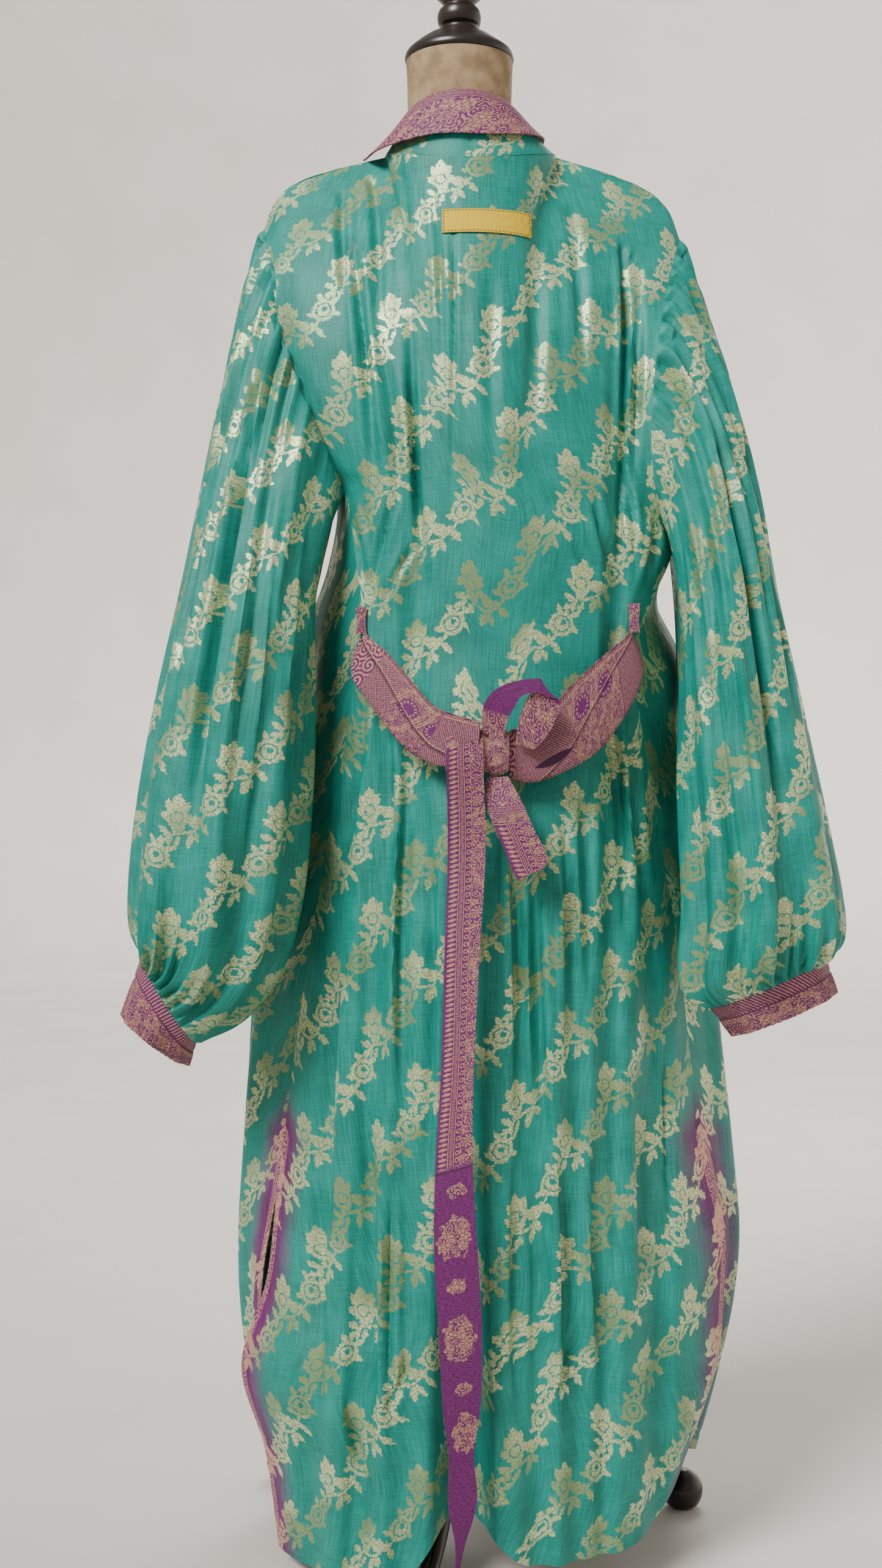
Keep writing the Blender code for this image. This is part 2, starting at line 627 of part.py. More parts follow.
def back_panel():
    left = armhole_edge(ARMHOLE_LEFT, 1, ARMHOLE_ROWS)
    right = armhole_edge(ARMHOLE_RIGHT, 1, ARMHOLE_ROWS)
    neck = neck_line(NECK_COLUMNS)
    top = np.concatenate([
        shoulder_line(left[0], neck[0], SHOULDER_COLUMNS)[:-1],
        neck,
        shoulder_line(right[0], neck[-1], SHOULDER_COLUMNS)[::-1][1:],
    ])
    lower = back_rows(np.concatenate([[0.0], LOWER_ROWS]))
    upper = fill_between(top, lower[0], left, right)
    points = np.concatenate([upper[:-1], lower])
    relax(points[:ARMHOLE_ROWS + 3], RELAX_ROUNDS)
    column = np.arange(points.shape[1])
    inside = ramp(np.minimum(column, column[::-1]) / FOLD_MARGIN)
    points[..., 1] += back_folds(points) * inside
    return Panel(points)


def front_rows(side, front, armhole, drops, corner):
    """Rows of one front panel below the underarm: a bent curve from side seam to front edge."""
    both = spline(side, drops)
    sewn = np.arange(len(drops))[:, None] <= SLIT_ROW
    seam = np.where(sewn, both[:, 0:2], both[:, 2:4])
    plan = spline(front, drops)
    t = np.linspace(0.0, 1.0, SHOULDER_COLUMNS + 1)[None, :, None]
    start = seam[:, None, :]
    handle_a = plan[:, None, 0:2]
    handle_b = plan[:, None, 2:4]
    edge = plan[:, None, 4:6]
    flat = ((1 - t) ** 3 * start + 3 * (1 - t) ** 2 * t * handle_a
            + 3 * (1 - t) * t ** 2 * handle_b + t ** 3 * edge)
    share = t[0, :, 0]
    top = armhole[-1, 0] + (FRONT_EDGE[-1, 3] - armhole[-1, 0]) * share
    hem = HEM_FRONT + (corner - HEM_FRONT) * (1.0 - share) ** FRONT_CORNER_POWER
    z = body_height(top, hem, drops[:, None])
    return np.concatenate([flat, z[..., None]], axis=2)


def front_folds(points, sign):
    """Move the front panel's points out along their plan normals at each soft fold."""
    count = points.shape[1]
    share = np.linspace(0.0, 1.0, count)[None, :]
    z = points[..., 2]
    depth = np.zeros_like(z)
    for centre, half, deep, z_top, z_full in FRONT_FOLDS:
        depth += deep * bump((share - centre) / half) * ramp((z_top - z) / (z_top - z_full))
    along = np.gradient(points[..., :2], axis=1)
    along = unit(along)
    outward = np.stack([along[..., 1], -along[..., 0]], axis=2) * sign
    points[..., :2] += outward * depth[..., None]
    return points


def front_panel(back, side, front, armhole, sign):
    """Front panel on the side with the given sign of x, its columns from side to front edge."""
    count = SHOULDER_COLUMNS
    if sign < 0:
        shoulder = back.points[0, :count + 1].copy()
    else:
        shoulder = back.points[0, ::-1][:count + 1].copy()
    arm = armhole_edge(armhole, 3, ARMHOLE_ROWS)
    shares = np.linspace(0.0, 1.0, ARMHOLE_ROWS + 1)
    edge = spline(FRONT_EDGE, shares)
    edge[:, 0] *= sign
    drops = np.concatenate([[0.0], LOWER_ROWS])
    corner = HEM_CORNER_LEFT if sign < 0 else HEM_CORNER_RIGHT
    lower = front_rows(side, front, armhole, drops, corner)
    edge[-1] = lower[0, -1]
    upper = fill_between(shoulder, lower[0], arm, edge)
    points = np.concatenate([upper[:-1], lower])
    points = front_folds(points, sign)
    return Panel(points, flip=sign < 0)


def collar_stand(back):
    """Green stand: rises from the back neckline and leans towards the neck."""
    base = back.points[0, SHOULDER_COLUMNS:SHOULDER_COLUMNS + NECK_COLUMNS + 1]
    angle = np.linspace(math.pi, 0.0, NECK_COLUMNS + 1)
    dip = np.sin(angle)
    size = STAND_TOP
    top = np.stack([
        size["x"] + size["half_width"] * np.cos(angle),
        size["y_side"] + (size["y_back"] - size["y_side"]) * dip,
        size["z_side"] + (size["z_back"] - size["z_side"]) * dip,
    ], axis=1)
    rise = np.linspace(1.0, 0.0, STAND_ROWS + 1)[:, None, None]
    points = base[None] * (1.0 - rise) + top[None] * rise
    return Panel(points)


def front_band(front, stand, sign):
    """Band along a front edge: stands at the neck and lies flat below, free edge inwards."""
    edge = front.points[:, -1]
    rows = len(edge)
    drop = np.clip((NECK_POINT[2] - edge[:, 2]) / BAND_TURN, 0.0, 1.0)
    lie = ramp(drop)[:, None]
    end = -1 if sign > 0 else 0
    stand_edge = stand.points[::-1, end]
    rising = stand_edge[-1] - stand_edge[0]
    flat = np.array([-sign * BAND_WIDTH, BAND_LIFT, 0.0])
    free = edge + (1.0 - lie) * rising + lie * flat
    free[:, 1] += BAND_BOW * np.sin(math.pi * drop)
    t = np.linspace(0.0, 1.0, BAND_COLUMNS + 1)[None, :, None]
    points = edge[:, None] * (1 - t) + free[:, None] * t
    points[0] = stand_edge
    points = points.reshape(rows, BAND_COLUMNS + 1, 3)
    return Panel(points, flip=sign < 0)


def collar_fall(stand):
    """Turned-over collar: down inside the stand's top, over it and down its outer side."""
    columns = stand.points.shape[1]
    share = np.linspace(0.0, 1.0, columns)
    edge = spline(FALL_EDGE, share)
    low = stand.points[-1]
    top = stand.points[0]
    rise = top - low
    out = stand.normals[STAND_ROWS // 2]
    length = np.linalg.norm(rise, axis=1, keepdims=True)
    rows = [low + rise * (share + lift / length) + out * away for share, lift, away in FALL_TOP]
    start = FALL_TOP[-1][2]
    for part in (0.5, 1.0):
        h = 1.0 + (edge[:, 0] - 1.0) * part
        away = start + (edge[:, 1] - start) * part
        rows.append(low + rise * h[:, None] + out * away[:, None])
    return Panel(np.stack(rows))


def sleeve_grid(table, sign, armhole_loop):
    """Rings down a sleeve: ovals between outer and inner outline, gathered at both ends."""
    count = SLEEVE_COLUMNS
    angle = 2.0 * math.pi * np.arange(count) / count
    rings = [armhole_loop]
    for row, head, cuff in zip(table, HEAD_GATHER, CUFF_GATHER):
        outer = row[0:3]
        inner = row[3:6]
        depth = np.array([0.0, row[6], 0.0])
        middle = 0.5 * (outer + inner)
        reach = 0.5 * (outer - inner)
        wave = (HEAD_DEPTH * head * np.cos(HEAD_WAVES * angle + HEAD_UNEVEN * np.sin(angle))
                + CUFF_DEPTH * cuff * np.cos(CUFF_WAVES * angle + CUFF_UNEVEN * np.cos(2 * angle)))
        size = 1.0 + (wave / np.linalg.norm(reach))
        oval = (middle + np.cos(angle)[:, None] * reach * size[:, None]
                - np.sin(angle)[:, None] * depth * size[:, None])
        rings.append(row[7] * armhole_loop + (1.0 - row[7]) * oval)
    return Panel(np.stack(rings), ring=True, flip=sign > 0)


def armhole_loop(back, front, sign):
    """Loop round an armhole: down the back edge, up the front edge, with points halfway."""
    column = 0 if sign < 0 else -1
    down = back.points[:ARMHOLE_ROWS + 1, column]
    up = front.points[:ARMHOLE_ROWS + 1, 0][::-1]
    loop = np.concatenate([down, up[1:-1]])
    halfway = 0.5 * (loop + np.roll(loop, -1, axis=0))
    return np.stack([loop, halfway], axis=1).reshape(-1, 3)


def smooth_halfway(values):
    """Put the odd points of a ring exactly on the chords between the even ones."""
    values[1::2] = 0.5 * (values[0::2] + np.roll(values[0::2], -1, axis=0))


def seam_normal(table):
    """Direction square to the flat ring where a sleeve meets its cuff, pointing downwards."""
    reach = table[-1, 0:3] - table[-1, 3:6]
    normal = unit(np.cross(reach, np.array([0.0, 1.0, 0.0])))
    return normal if normal[2] < 0.0 else -normal


def oval_ring(row):
    """Flat oval from a table row: outer x, y, z, inner x, y, z, half depth."""
    angle = 2.0 * math.pi * np.arange(SLEEVE_COLUMNS) / SLEEVE_COLUMNS
    middle = 0.5 * (row[0:3] + row[3:6])
    reach = 0.5 * (row[0:3] - row[3:6])
    depth = np.array([0.0, row[6], 0.0])
    return middle + np.cos(angle)[:, None] * reach - np.sin(angle)[:, None] * depth


def flat_inward(ring, wall):
    """Points a wall's thickness inside a flat ring, square to its outline."""
    along = unit(np.roll(ring, -1, axis=0) - np.roll(ring, 1, axis=0))
    middle = ring.mean(axis=0)
    plane = unit(np.cross(ring[1] - ring[0], middle - ring[0]))
    inward = unit(np.cross(plane, along))
    side = np.sum(inward * (middle - ring), axis=1, keepdims=True)
    inward = np.where(side < 0.0, -inward, inward)
    return ring + inward * wall


def cuff(side, table, finish):
    """Cuff: flat rings from the sleeve's end to its free edge, which is slightly waved."""
    angle = 2.0 * math.pi * np.arange(SLEEVE_COLUMNS) / SLEEVE_COLUMNS
    start = oval_ring(table[-1]) + seam_normal(table) * 0.5 * SEAM_GAP
    end = oval_ring(CUFF_END[side])
    rings = []
    for row in range(CUFF_ROWS + 1):
        share = row / CUFF_ROWS
        ring = start + (end - start) * share
        middle = ring.mean(axis=0)
        wave = 1.0 + CUFF_WAVE * share * np.cos(CUFF_WAVES * angle)
        rings.append(middle + (ring - middle) * wave[:, None])
    outer = np.stack(rings)
    inner = np.stack([flat_inward(ring, CUFF_WALL) for ring in rings])
    cloth(f"cuff_{side}", outer, inner, finish, ring=True)


def finish_sleeve(name, panel, table, finish):
    """Give a sleeve its wall; its cuff end is a flat ring just short of the cuff."""
    outer = panel.outer()
    inner = panel.inner(WALL)
    outer[-1] -= seam_normal(table) * 0.5 * SEAM_GAP
    inner[-1] = flat_inward(outer[-1], WALL)
    smooth_halfway(outer[0])
    smooth_halfway(inner[0])
    cloth(name, outer, inner, finish, ring=True)


def ribbon(name, left, right, wall, finish):
    """Flat strip with a wall, from points along its left and right edges."""
    middle = 0.5 * (left + right)
    points = np.stack([left, middle, right], axis=1)
    panel = Panel(points)
    outer = points + panel.normals * 0.5 * wall
    inner = points - panel.normals * 0.5 * wall
    cloth(name, outer, inner, finish)


def belt_stretch(name, table, finish):
    """Belt folded lengthwise: front layer, fold at its lower edge, back layer, open on top."""
    shares = np.linspace(0.0, 1.0, len(table))
    keyed = np.column_stack([shares, table])
    rows = spline(keyed, np.linspace(0.0, 1.0, BELT_ROWS))
    upper = np.stack([rows[:, 0], rows[:, 4], rows[:, 1]], axis=1)
    lower = np.stack([rows[:, 2], rows[:, 4], rows[:, 3]], axis=1)
    gap = np.stack([0.0 * rows[:, 5], rows[:, 5], 0.0 * rows[:, 5]], axis=1)
    down = lower - upper
    points = np.stack([upper + down * t + gap * side for t, side in BELT_PROFILE], axis=1)
    panel = Panel(points)
    panel.normals[[0, -1], :, 0] = 0.0
    inner = points - unit(panel.normals) * BELT_WALL
    cloth(name, points, inner, finish)


def knot(finish):
    """Knot: a rounded block with flat ends where the stretches enter."""
    centre = np.array(KNOT_CENTRE)
    half = np.array(KNOT_HALF)
    angle = 2.0 * math.pi * np.arange(KNOT_COLUMNS) / KNOT_COLUMNS
    cos = np.sign(np.cos(angle)) * np.abs(np.cos(angle)) ** KNOT_SQUARENESS
    sin = np.sign(np.sin(angle)) * np.abs(np.sin(angle)) ** KNOT_SQUARENESS
    rings = []
    for along, size in KNOT_PROFILE:
        x = np.full(KNOT_COLUMNS, along * half[0])
        rings.append(centre + np.stack([x, cos * half[1] * size, sin * half[2] * size], axis=1))
    add_rings("belt_knot", rings, finish)


def bow_loop(finish):
    """Bow loop: a strip carried round an open loop of its centreline."""
    keyed = np.column_stack([np.linspace(0.0, 1.0, len(BOW_LOOP)), BOW_LOOP])
    rows = spline(keyed, np.linspace(0.0, 1.0, LOOP_ROWS))
    line = rows[:, 0:3]
    across = unit(np.stack([rows[:, 4], 0.0 * rows[:, 4], rows[:, 5]], axis=1)) * rows[:, 3:4]
    ribbon("belt_bow_loop", line - across, line + across, BELT_WALL, finish)


def tails(finish):
    low = TAIL_LONG[::-1]
    heights = np.linspace(TAIL_LONG[-1, 0], TAIL_LONG[0, 0], TAIL_ROWS)
    rows = spline(low, heights)
    twist = TAIL_TWIST * np.sin(TWIST_RATE * heights)
    left = np.stack([rows[:, 0], rows[:, 2] - twist, heights], axis=1)
    right = np.stack([rows[:, 1], rows[:, 2] + twist, heights], axis=1)
    ribbon("belt_tail_long", left[::-1], right[::-1], BELT_WALL, finish)
    keyed = np.column_stack([np.linspace(0.0, 1.0, len(TAIL_SHORT)), TAIL_SHORT])
    rows = spline(keyed, np.linspace(0.0, 1.0, SHORT_ROWS))
    left = np.stack([rows[:, 0], rows[:, 4] + SHORT_TURN, rows[:, 1]], axis=1)
    right = np.stack([rows[:, 2], rows[:, 4], rows[:, 3]], axis=1)
    ribbon("belt_tail_short", left, right, BELT_WALL, finish)


def side_tab(name, place, finish):
    x, y, top, bottom, width = place
    half = 0.5 * width * TAB_PINCH
    heights = np.linspace(top, bottom, len(half))
    depth = np.full(len(half), y)
    left = np.stack([x - half, depth, heights], axis=1)
    right = np.stack([x + half, depth, heights], axis=1)
    ribbon(name, left, right, BELT_WALL, finish)


def label(back, finish):
    """Bare woven patch: points of the back panel, moved out a little."""
    x_low, x_high, z_low, z_high = LABEL_BOX
    points = []
    for x in np.linspace(x_low, x_high, LABEL_GRID[0]):
        depths = [np.interp(x, row[:, 0], row[:, 1]) for row in back.points]
        heights = [np.interp(x, row[:, 0], row[:, 2]) for row in back.points]
        for z in np.linspace(z_high, z_low, LABEL_GRID[1]):
            points.append((x, np.interp(-z, -np.array(heights), depths), z))
    points = np.array(points).reshape(*LABEL_GRID, 3)
    outer = points - np.array([0.0, LABEL_LIFT + LABEL_THICK, 0.0])
    inner = points - np.array([0.0, LABEL_LIFT, 0.0])
    cloth("label", outer, inner, finish)


def add_rings(name, rings, finish, smooth_angle=50.0):
    """Closed body from rings of points, with a flat face over each end ring."""
    columns = len(rings[0])
    points = np.concatenate(rings)
    faces = grid_faces(len(rings) - 1, columns, True, 0, False)
    faces.append(list(range(columns)))
    faces.append(list(range(len(points) - columns, len(points))))
    return add_mesh(name, points, faces, finish, smooth_angle)


def level_ring(columns, wide, deep, z, x=0.0):
    """Level oval ring round the point x, 0, z."""
    angle = 2.0 * math.pi * np.arange(columns) / columns
    return np.stack([x + wide * np.cos(angle), deep * np.sin(angle), np.full(columns, z)], axis=1)


def turned(name, profile, finish, columns=TURN_COLUMNS):
    """Turned wooden piece: rings of a table of heights and radii."""
    rings = [level_ring(columns, r, r, z) for z, r in profile]
    add_rings(name, rings, finish, WOOD_SMOOTH)


def leg(name, degrees, finish):
    """Leg: an oval bar along its path, ending in a rounded foot with a flat underside."""
    around = 2.0 * math.pi * np.arange(LEG_COLUMNS) / LEG_COLUMNS
    rings = []
    for radius, height, wide, tall in LEG_PATH:
        section = [np.full(LEG_COLUMNS, radius), wide * np.cos(around), height + tall * np.sin(around)]
        rings.append(np.stack(section, axis=1))
    bar = add_rings(name, rings, finish)
    foot_rings = [level_ring(FOOT_COLUMNS, r, r, z, FOOT_CENTRE) for z, r in FOOT_PROFILE]
    foot = add_rings(name + "_foot_guide", foot_rings, finish)
    foot.hide_render = True
    foot.display_type = "WIRE"
    union = bar.modifiers.new("foot", "BOOLEAN")
    union.operation = "UNION"
    union.solver = "EXACT"
    union.object = foot
    for part in (bar, foot):
        part.rotation_euler = (0.0, 0.0, math.radians(degrees))


def build_robe(green, plum, yellow):
    back = back_panel()
    front_left = front_panel(back, SIDE_LEFT, FRONT_LEFT, ARMHOLE_LEFT, -1.0)
    front_right = front_panel(back, SIDE_RIGHT, FRONT_RIGHT, ARMHOLE_RIGHT, 1.0)
    stand = collar_stand(back)
    band_left = front_band(front_left, stand, -1.0)
    band_right = front_band(front_right, stand, 1.0)
    sleeve_left = sleeve_grid(SLEEVE_LEFT, -1.0, armhole_loop(back, front_left, -1.0))
    sleeve_right = sleeve_grid(SLEEVE_RIGHT, 1.0, armhole_loop(back, front_right, 1.0))

    last = back.points.shape[1] - 1
    arm = np.arange(ARMHOLE_ROWS + 1)
    sewn = np.arange(ARMHOLE_ROWS, ARMHOLE_ROWS + SLIT_ROW + 1)
    shoulder = np.arange(SHOULDER_COLUMNS + 1)
    neck = np.arange(SHOULDER_COLUMNS, SHOULDER_COLUMNS + NECK_COLUMNS + 1)
    rows = np.arange(back.points.shape[0])
    down = 2 * arm
    up = (SLEEVE_COLUMNS - 2 * arm) % SLEEVE_COLUMNS
    stand_rows = np.arange(STAND_ROWS + 1)

    def seam_list():
        """Every seam: first panel, its points, their inner neighbours, second panel, points."""
        seams = []
        for sign, front, sleeve, band in ((-1, front_left, sleeve_left, band_left),
                                          (1, front_right, sleeve_right, band_right)):
            side = 0 if sign < 0 else last
            inside = side - sign
            top = shoulder if sign < 0 else last - shoulder
            end = 0 if sign < 0 else NECK_COLUMNS
            seams.append((back, (sewn, side), (sewn, inside), front, (sewn, 0)))
            seams.append((back, (0, top), (1, top), front, (0, shoulder)))
            seams.append((back, (arm, side), (arm, inside), sleeve, (0, down)))
            seams.append((front, (arm, 0), (arm, 1), sleeve, (0, up)))
            seams.append((front, (rows, SHOULDER_COLUMNS), (rows, SHOULDER_COLUMNS - 1),
                          band, (rows, 0)))
            seams.append((stand, (stand_rows[::-1], end), (stand_rows[::-1], end - sign),
                          band, (0, stand_rows)))
        seams.append((back, (0, neck), (1, neck), stand, (STAND_ROWS, np.arange(NECK_COLUMNS + 1))))
        return seams

    seams = seam_list()
    share_normals([(a, at_a, b, at_b) for a, at_a, _, b, at_b in seams])
    for first, first_at, first_in, second, second_at in seams:
        join_seam(first, first_at, first_in, second, second_at)

    for name, panel, finish in (("robe_back", back, green), ("robe_front_left", front_left, green),
                                ("robe_front_right", front_right, green),
                                ("collar_stand", stand, green),
                                ("front_band_left", band_left, plum),
                                ("front_band_right", band_right, plum)):
        cloth(name, panel.outer(), panel.inner(WALL), finish)
    finish_sleeve("sleeve_left", sleeve_left, SLEEVE_LEFT, green)
    finish_sleeve("sleeve_right", sleeve_right, SLEEVE_RIGHT, green)
    cuff("left", SLEEVE_LEFT, plum)
    cuff("right", SLEEVE_RIGHT, plum)
    fall = collar_fall(stand)
    cloth("collar_fall", fall.outer(), fall.inner(FALL_WALL), plum)
    label(back, yellow)


def build_belt(plum):
    belt_stretch("belt_left", BELT_LEFT, plum)
    belt_stretch("belt_right", BELT_RIGHT, plum)
    knot(plum)
    bow_loop(plum)
    tails(plum)
    side_tab("belt_tab_left", TAB_LEFT, plum)
    side_tab("belt_tab_right", TAB_RIGHT, plum)


def build_form(linen, wood):
    torso_rings = [level_ring(FORM_COLUMNS, wide, deep, z) for z, wide, deep in FORM_RINGS]
    add_rings("form_torso", torso_rings, linen)
    turned("form_neck_cap", NECK_CAP, wood, CAP_COLUMNS)
    turned("form_finial", FINIAL, wood)
    turned("stand_pole", POLE, wood, POLE_COLUMNS)
    turned("stand_hub", HUB, wood)
    for number, degrees in enumerate(LEG_ANGLES, start=1):
        leg(f"stand_leg_{number}", degrees, wood)
    for item in bpy.context.scene.objects:
        item.location.x = FORM_AXIS_X


def centre_over_origin():
    """Move every piece under one empty, so that the whole stands over the origin."""
    bpy.context.view_layer.update()
    depsgraph = bpy.context.evaluated_depsgraph_get()
    low = np.full(3, np.inf)
    high = np.full(3, -np.inf)
    pieces = list(bpy.context.scene.objects)
    for item in pieces:
        if item.hide_render:
            continue
        shown = item.evaluated_get(depsgraph)
        mesh = shown.to_mesh()
        corners = np.array([item.matrix_world @ v.co for v in mesh.vertices])
        shown.to_mesh_clear()
        low = np.minimum(low, corners.min(axis=0))
        high = np.maximum(high, corners.max(axis=0))
    base = bpy.data.objects.new("robe_and_form", None)
    bpy.context.scene.collection.objects.link(base)
    base.location = (-0.5 * (low[0] + high[0]), -0.5 * (low[1] + high[1]), -low[2])
    for item in pieces:
        item.parent = base


def main():
    clear_scene()
    green = material("green_brocade", GREEN, 0.55)
    plum = material("plum_jacquard", PLUM, 0.65)
    linen = material("form_linen", LINEN, 0.9)
    wood = material("dark_wood", DARK_WOOD, 0.35)
    yellow = material("label_yellow", YELLOW, 0.7)
    build_form(linen, wood)
    build_robe(green, plum, yellow)
    build_belt(plum)
    centre_over_origin()


main()
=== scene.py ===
"""Finish of a brocade kimono robe and of the dress form that it hangs on.

Every cloth piece is a fine grid worked out in the robe's own frame, whose z axis runs through the
middle of the neckline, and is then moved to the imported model's place. Lengths are in metres.
"""
import math

import bpy
import mathutils
import numpy as np
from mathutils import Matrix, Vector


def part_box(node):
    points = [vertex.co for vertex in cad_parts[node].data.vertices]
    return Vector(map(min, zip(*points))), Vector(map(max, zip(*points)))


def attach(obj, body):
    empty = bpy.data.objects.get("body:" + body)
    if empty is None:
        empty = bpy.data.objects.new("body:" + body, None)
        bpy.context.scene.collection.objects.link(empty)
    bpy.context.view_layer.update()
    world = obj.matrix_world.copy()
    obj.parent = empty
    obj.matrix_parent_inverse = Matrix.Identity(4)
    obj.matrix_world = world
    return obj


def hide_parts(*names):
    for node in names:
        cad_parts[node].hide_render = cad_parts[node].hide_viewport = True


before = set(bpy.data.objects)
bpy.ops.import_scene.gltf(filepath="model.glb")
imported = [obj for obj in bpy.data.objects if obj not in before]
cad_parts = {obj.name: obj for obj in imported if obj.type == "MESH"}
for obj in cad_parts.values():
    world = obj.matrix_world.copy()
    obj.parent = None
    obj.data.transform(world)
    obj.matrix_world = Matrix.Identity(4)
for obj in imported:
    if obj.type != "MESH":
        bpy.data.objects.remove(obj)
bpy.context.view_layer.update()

FORM_AXIS_X = -0.011
cap_low, cap_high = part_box("form_neck_cap")
PLACE = np.array([
    0.5 * (cap_low.x + cap_high.x) - FORM_AXIS_X, 0.5 * (cap_low.y + cap_high.y), 0.0])

SHOULDER_COLUMNS = 14
NECK_COLUMNS = 14
ARMHOLE_ROWS = 8
LOWER_ROWS = np.array([0.06, 0.13, 0.22, 0.33, 0.44, 0.55, 0.66, 0.75, 0.83, 0.91, 1.0])
SLIT_SHARE = 0.66
SLEEVE_COLUMNS = 4 * ARMHOLE_ROWS

# How many fine steps go between two of the solids' points
ARMHOLE_STEPS = 10
LOWER_STEPS = 14
BACK_STEPS = 4
FRONT_STEPS = 6
STAND_STEPS = 6
SLEEVE_STEPS = 5
RING_STEPS = 14
SHEET_WALL = 0.0011
# Edges that turn by more degrees than this are shaded sharp
SHARP_ANGLE = 55.0

# Armhole edges from shoulder tip to underarm: height, back x, back y, front x, front y
ARMHOLE_LEFT = np.array([
    [1.338, -0.2110, 0.000, -0.2110, 0.000],
    [1.290, -0.1960, -0.045, -0.2020, 0.045],
    [1.225, -0.1900, -0.077, -0.1900, 0.066],
    [1.155, -0.1660, -0.091, -0.1720, 0.060],
    [1.097, -0.1400, -0.088, -0.1530, 0.012],
    [1.058, -0.1250, -0.072, -0.1250, -0.072],
])
ARMHOLE_RIGHT = np.array([
    [1.328, 0.2140, 0.000, 0.2140, 0.000],
    [1.264, 0.1950, -0.048, 0.2050, 0.048],
    [1.205, 0.1840, -0.077, 0.1980, 0.068],
    [1.130, 0.1760, -0.090, 0.1930, 0.060],
    [1.060, 0.1800, -0.085, 0.1930, 0.015],
    [0.998, 0.1990, -0.057, 0.1990, -0.057],
])

# Side seams and slit edges: share of the drop, back x, back y, front x, front y
SIDE_LEFT = np.array([
    [0.000, -0.125, -0.072, -0.125, -0.072],
    [0.130, -0.107, -0.097, -0.107, -0.097],
    [0.235, -0.124, -0.082, -0.124, -0.082],
    [0.430, -0.160, -0.060, -0.160, -0.060],
    [0.660, -0.193, -0.050, -0.193, -0.050],
    [0.750, -0.204, -0.056, -0.210, -0.026],
    [0.830, -0.228, -0.062, -0.214, -0.012],
    [0.910, -0.204, -0.066, -0.208, -0.004],
    [1.000, -0.190, -0.070, -0.196, 0.004],
])
SIDE_RIGHT = np.array([
    [0.000, 0.199, -0.057, 0.199, -0.057],
    [0.120, 0.159, -0.092, 0.159, -0.092],
    [0.235, 0.174, -0.074, 0.174, -0.074],
    [0.430, 0.205, -0.052, 0.205, -0.052],
    [0.660, 0.233, -0.044, 0.233, -0.044],
    [0.750, 0.252, -0.052, 0.252, -0.020],
    [0.830, 0.251, -0.060, 0.250, -0.006],
    [0.910, 0.242, -0.068, 0.236, 0.000],
    [1.000, 0.212, -0.076, 0.214, 0.006],
])

# Front panels' plan curve: share of the drop, side handle x, y, front handle x, y, edge x, y
FRONT_LEFT = np.array([
    [0.000, -0.143, -0.030, -0.148, 0.120, -0.070, 0.122],
    [0.060, -0.150, -0.036, -0.180, 0.128, -0.068, 0.124],
    [0.130, -0.168, -0.030, -0.222, 0.132, -0.066, 0.126],
    [0.235, -0.190, -0.010, -0.206, 0.156, -0.066, 0.132],
    [0.430, -0.238, 0.005, -0.225, 0.170, -0.070, 0.142],
    [0.660, -0.258, 0.020, -0.236, 0.180, -0.076, 0.154],
    [0.830, -0.248, 0.035, -0.230, 0.190, -0.078, 0.162],
    [1.000, -0.200, 0.050, -0.205, 0.200, -0.080, 0.170],
])
FRONT_RIGHT = np.array([
    [0.000, 0.190, -0.020, 0.183, 0.125, 0.078, 0.122],
    [0.050, 0.194, -0.024, 0.208, 0.132, 0.076, 0.124],
    [0.120, 0.215, -0.020, 0.285, 0.126, 0.072, 0.126],
    [0.235, 0.233, -0.010, 0.266, 0.148, 0.072, 0.132],
    [0.430, 0.272, 0.005, 0.245, 0.170, 0.076, 0.142],
    [0.660, 0.294, 0.020, 0.262, 0.180, 0.082, 0.154],
    [0.830, 0.286, 0.035, 0.262, 0.190, 0.084, 0.162],
    [1.000, 0.238, 0.050, 0.240, 0.200, 0.086, 0.170],
])

# Middle of the back panel: share of the drop, y
BACK_MIDDLE = np.array([
    [0.000, -0.120], [0.139, -0.124], [0.250, -0.142], [0.457, -0.160],
    [0.687, -0.172], [1.000, -0.184],
])

# Shoulder seam: share from tip to neck, rise above the straight line
SHOULDER_RISE = np.array([
    [0.00, 0.000], [0.07, 0.019], [0.15, 0.026], [0.30, 0.027], [0.55, 0.020], [0.80, 0.009],
    [1.00, 0.000],
])

NECK_POINT = (0.088, 0.002, 1.412)
NECK_BACK = (-0.072, 1.390)
NECK_DIP_POWER = 1.5
TOP_FADE = np.array([2.0, 2.4, 1.2])
RELAX_ROUNDS = 14
# Front edge down to the underarm: share of the armhole rows, x from the centre, y, z
FRONT_EDGE = np.array([
    [0.00, 0.088, 0.002, 1.412],
    [0.15, 0.086, 0.050, 1.385],
    [0.35, 0.082, 0.088, 1.325],
    [0.65, 0.076, 0.114, 1.210],
    [1.00, 0.070, 0.122, 1.045],
])

HEM_CORNER_LEFT = 0.016
HEM_CORNER_RIGHT = 0.112
HEM_LEFT = 0.010
HEM_PLEAT = 0.078
HEM_RIGHT = 0.039
HEM_FRONT = 0.062
BACK_CORNER_POWER = 7
FRONT_CORNER_POWER = 6
BACK_ROUNDNESS = 2.6
COLUMN_CROWDING = 0.40

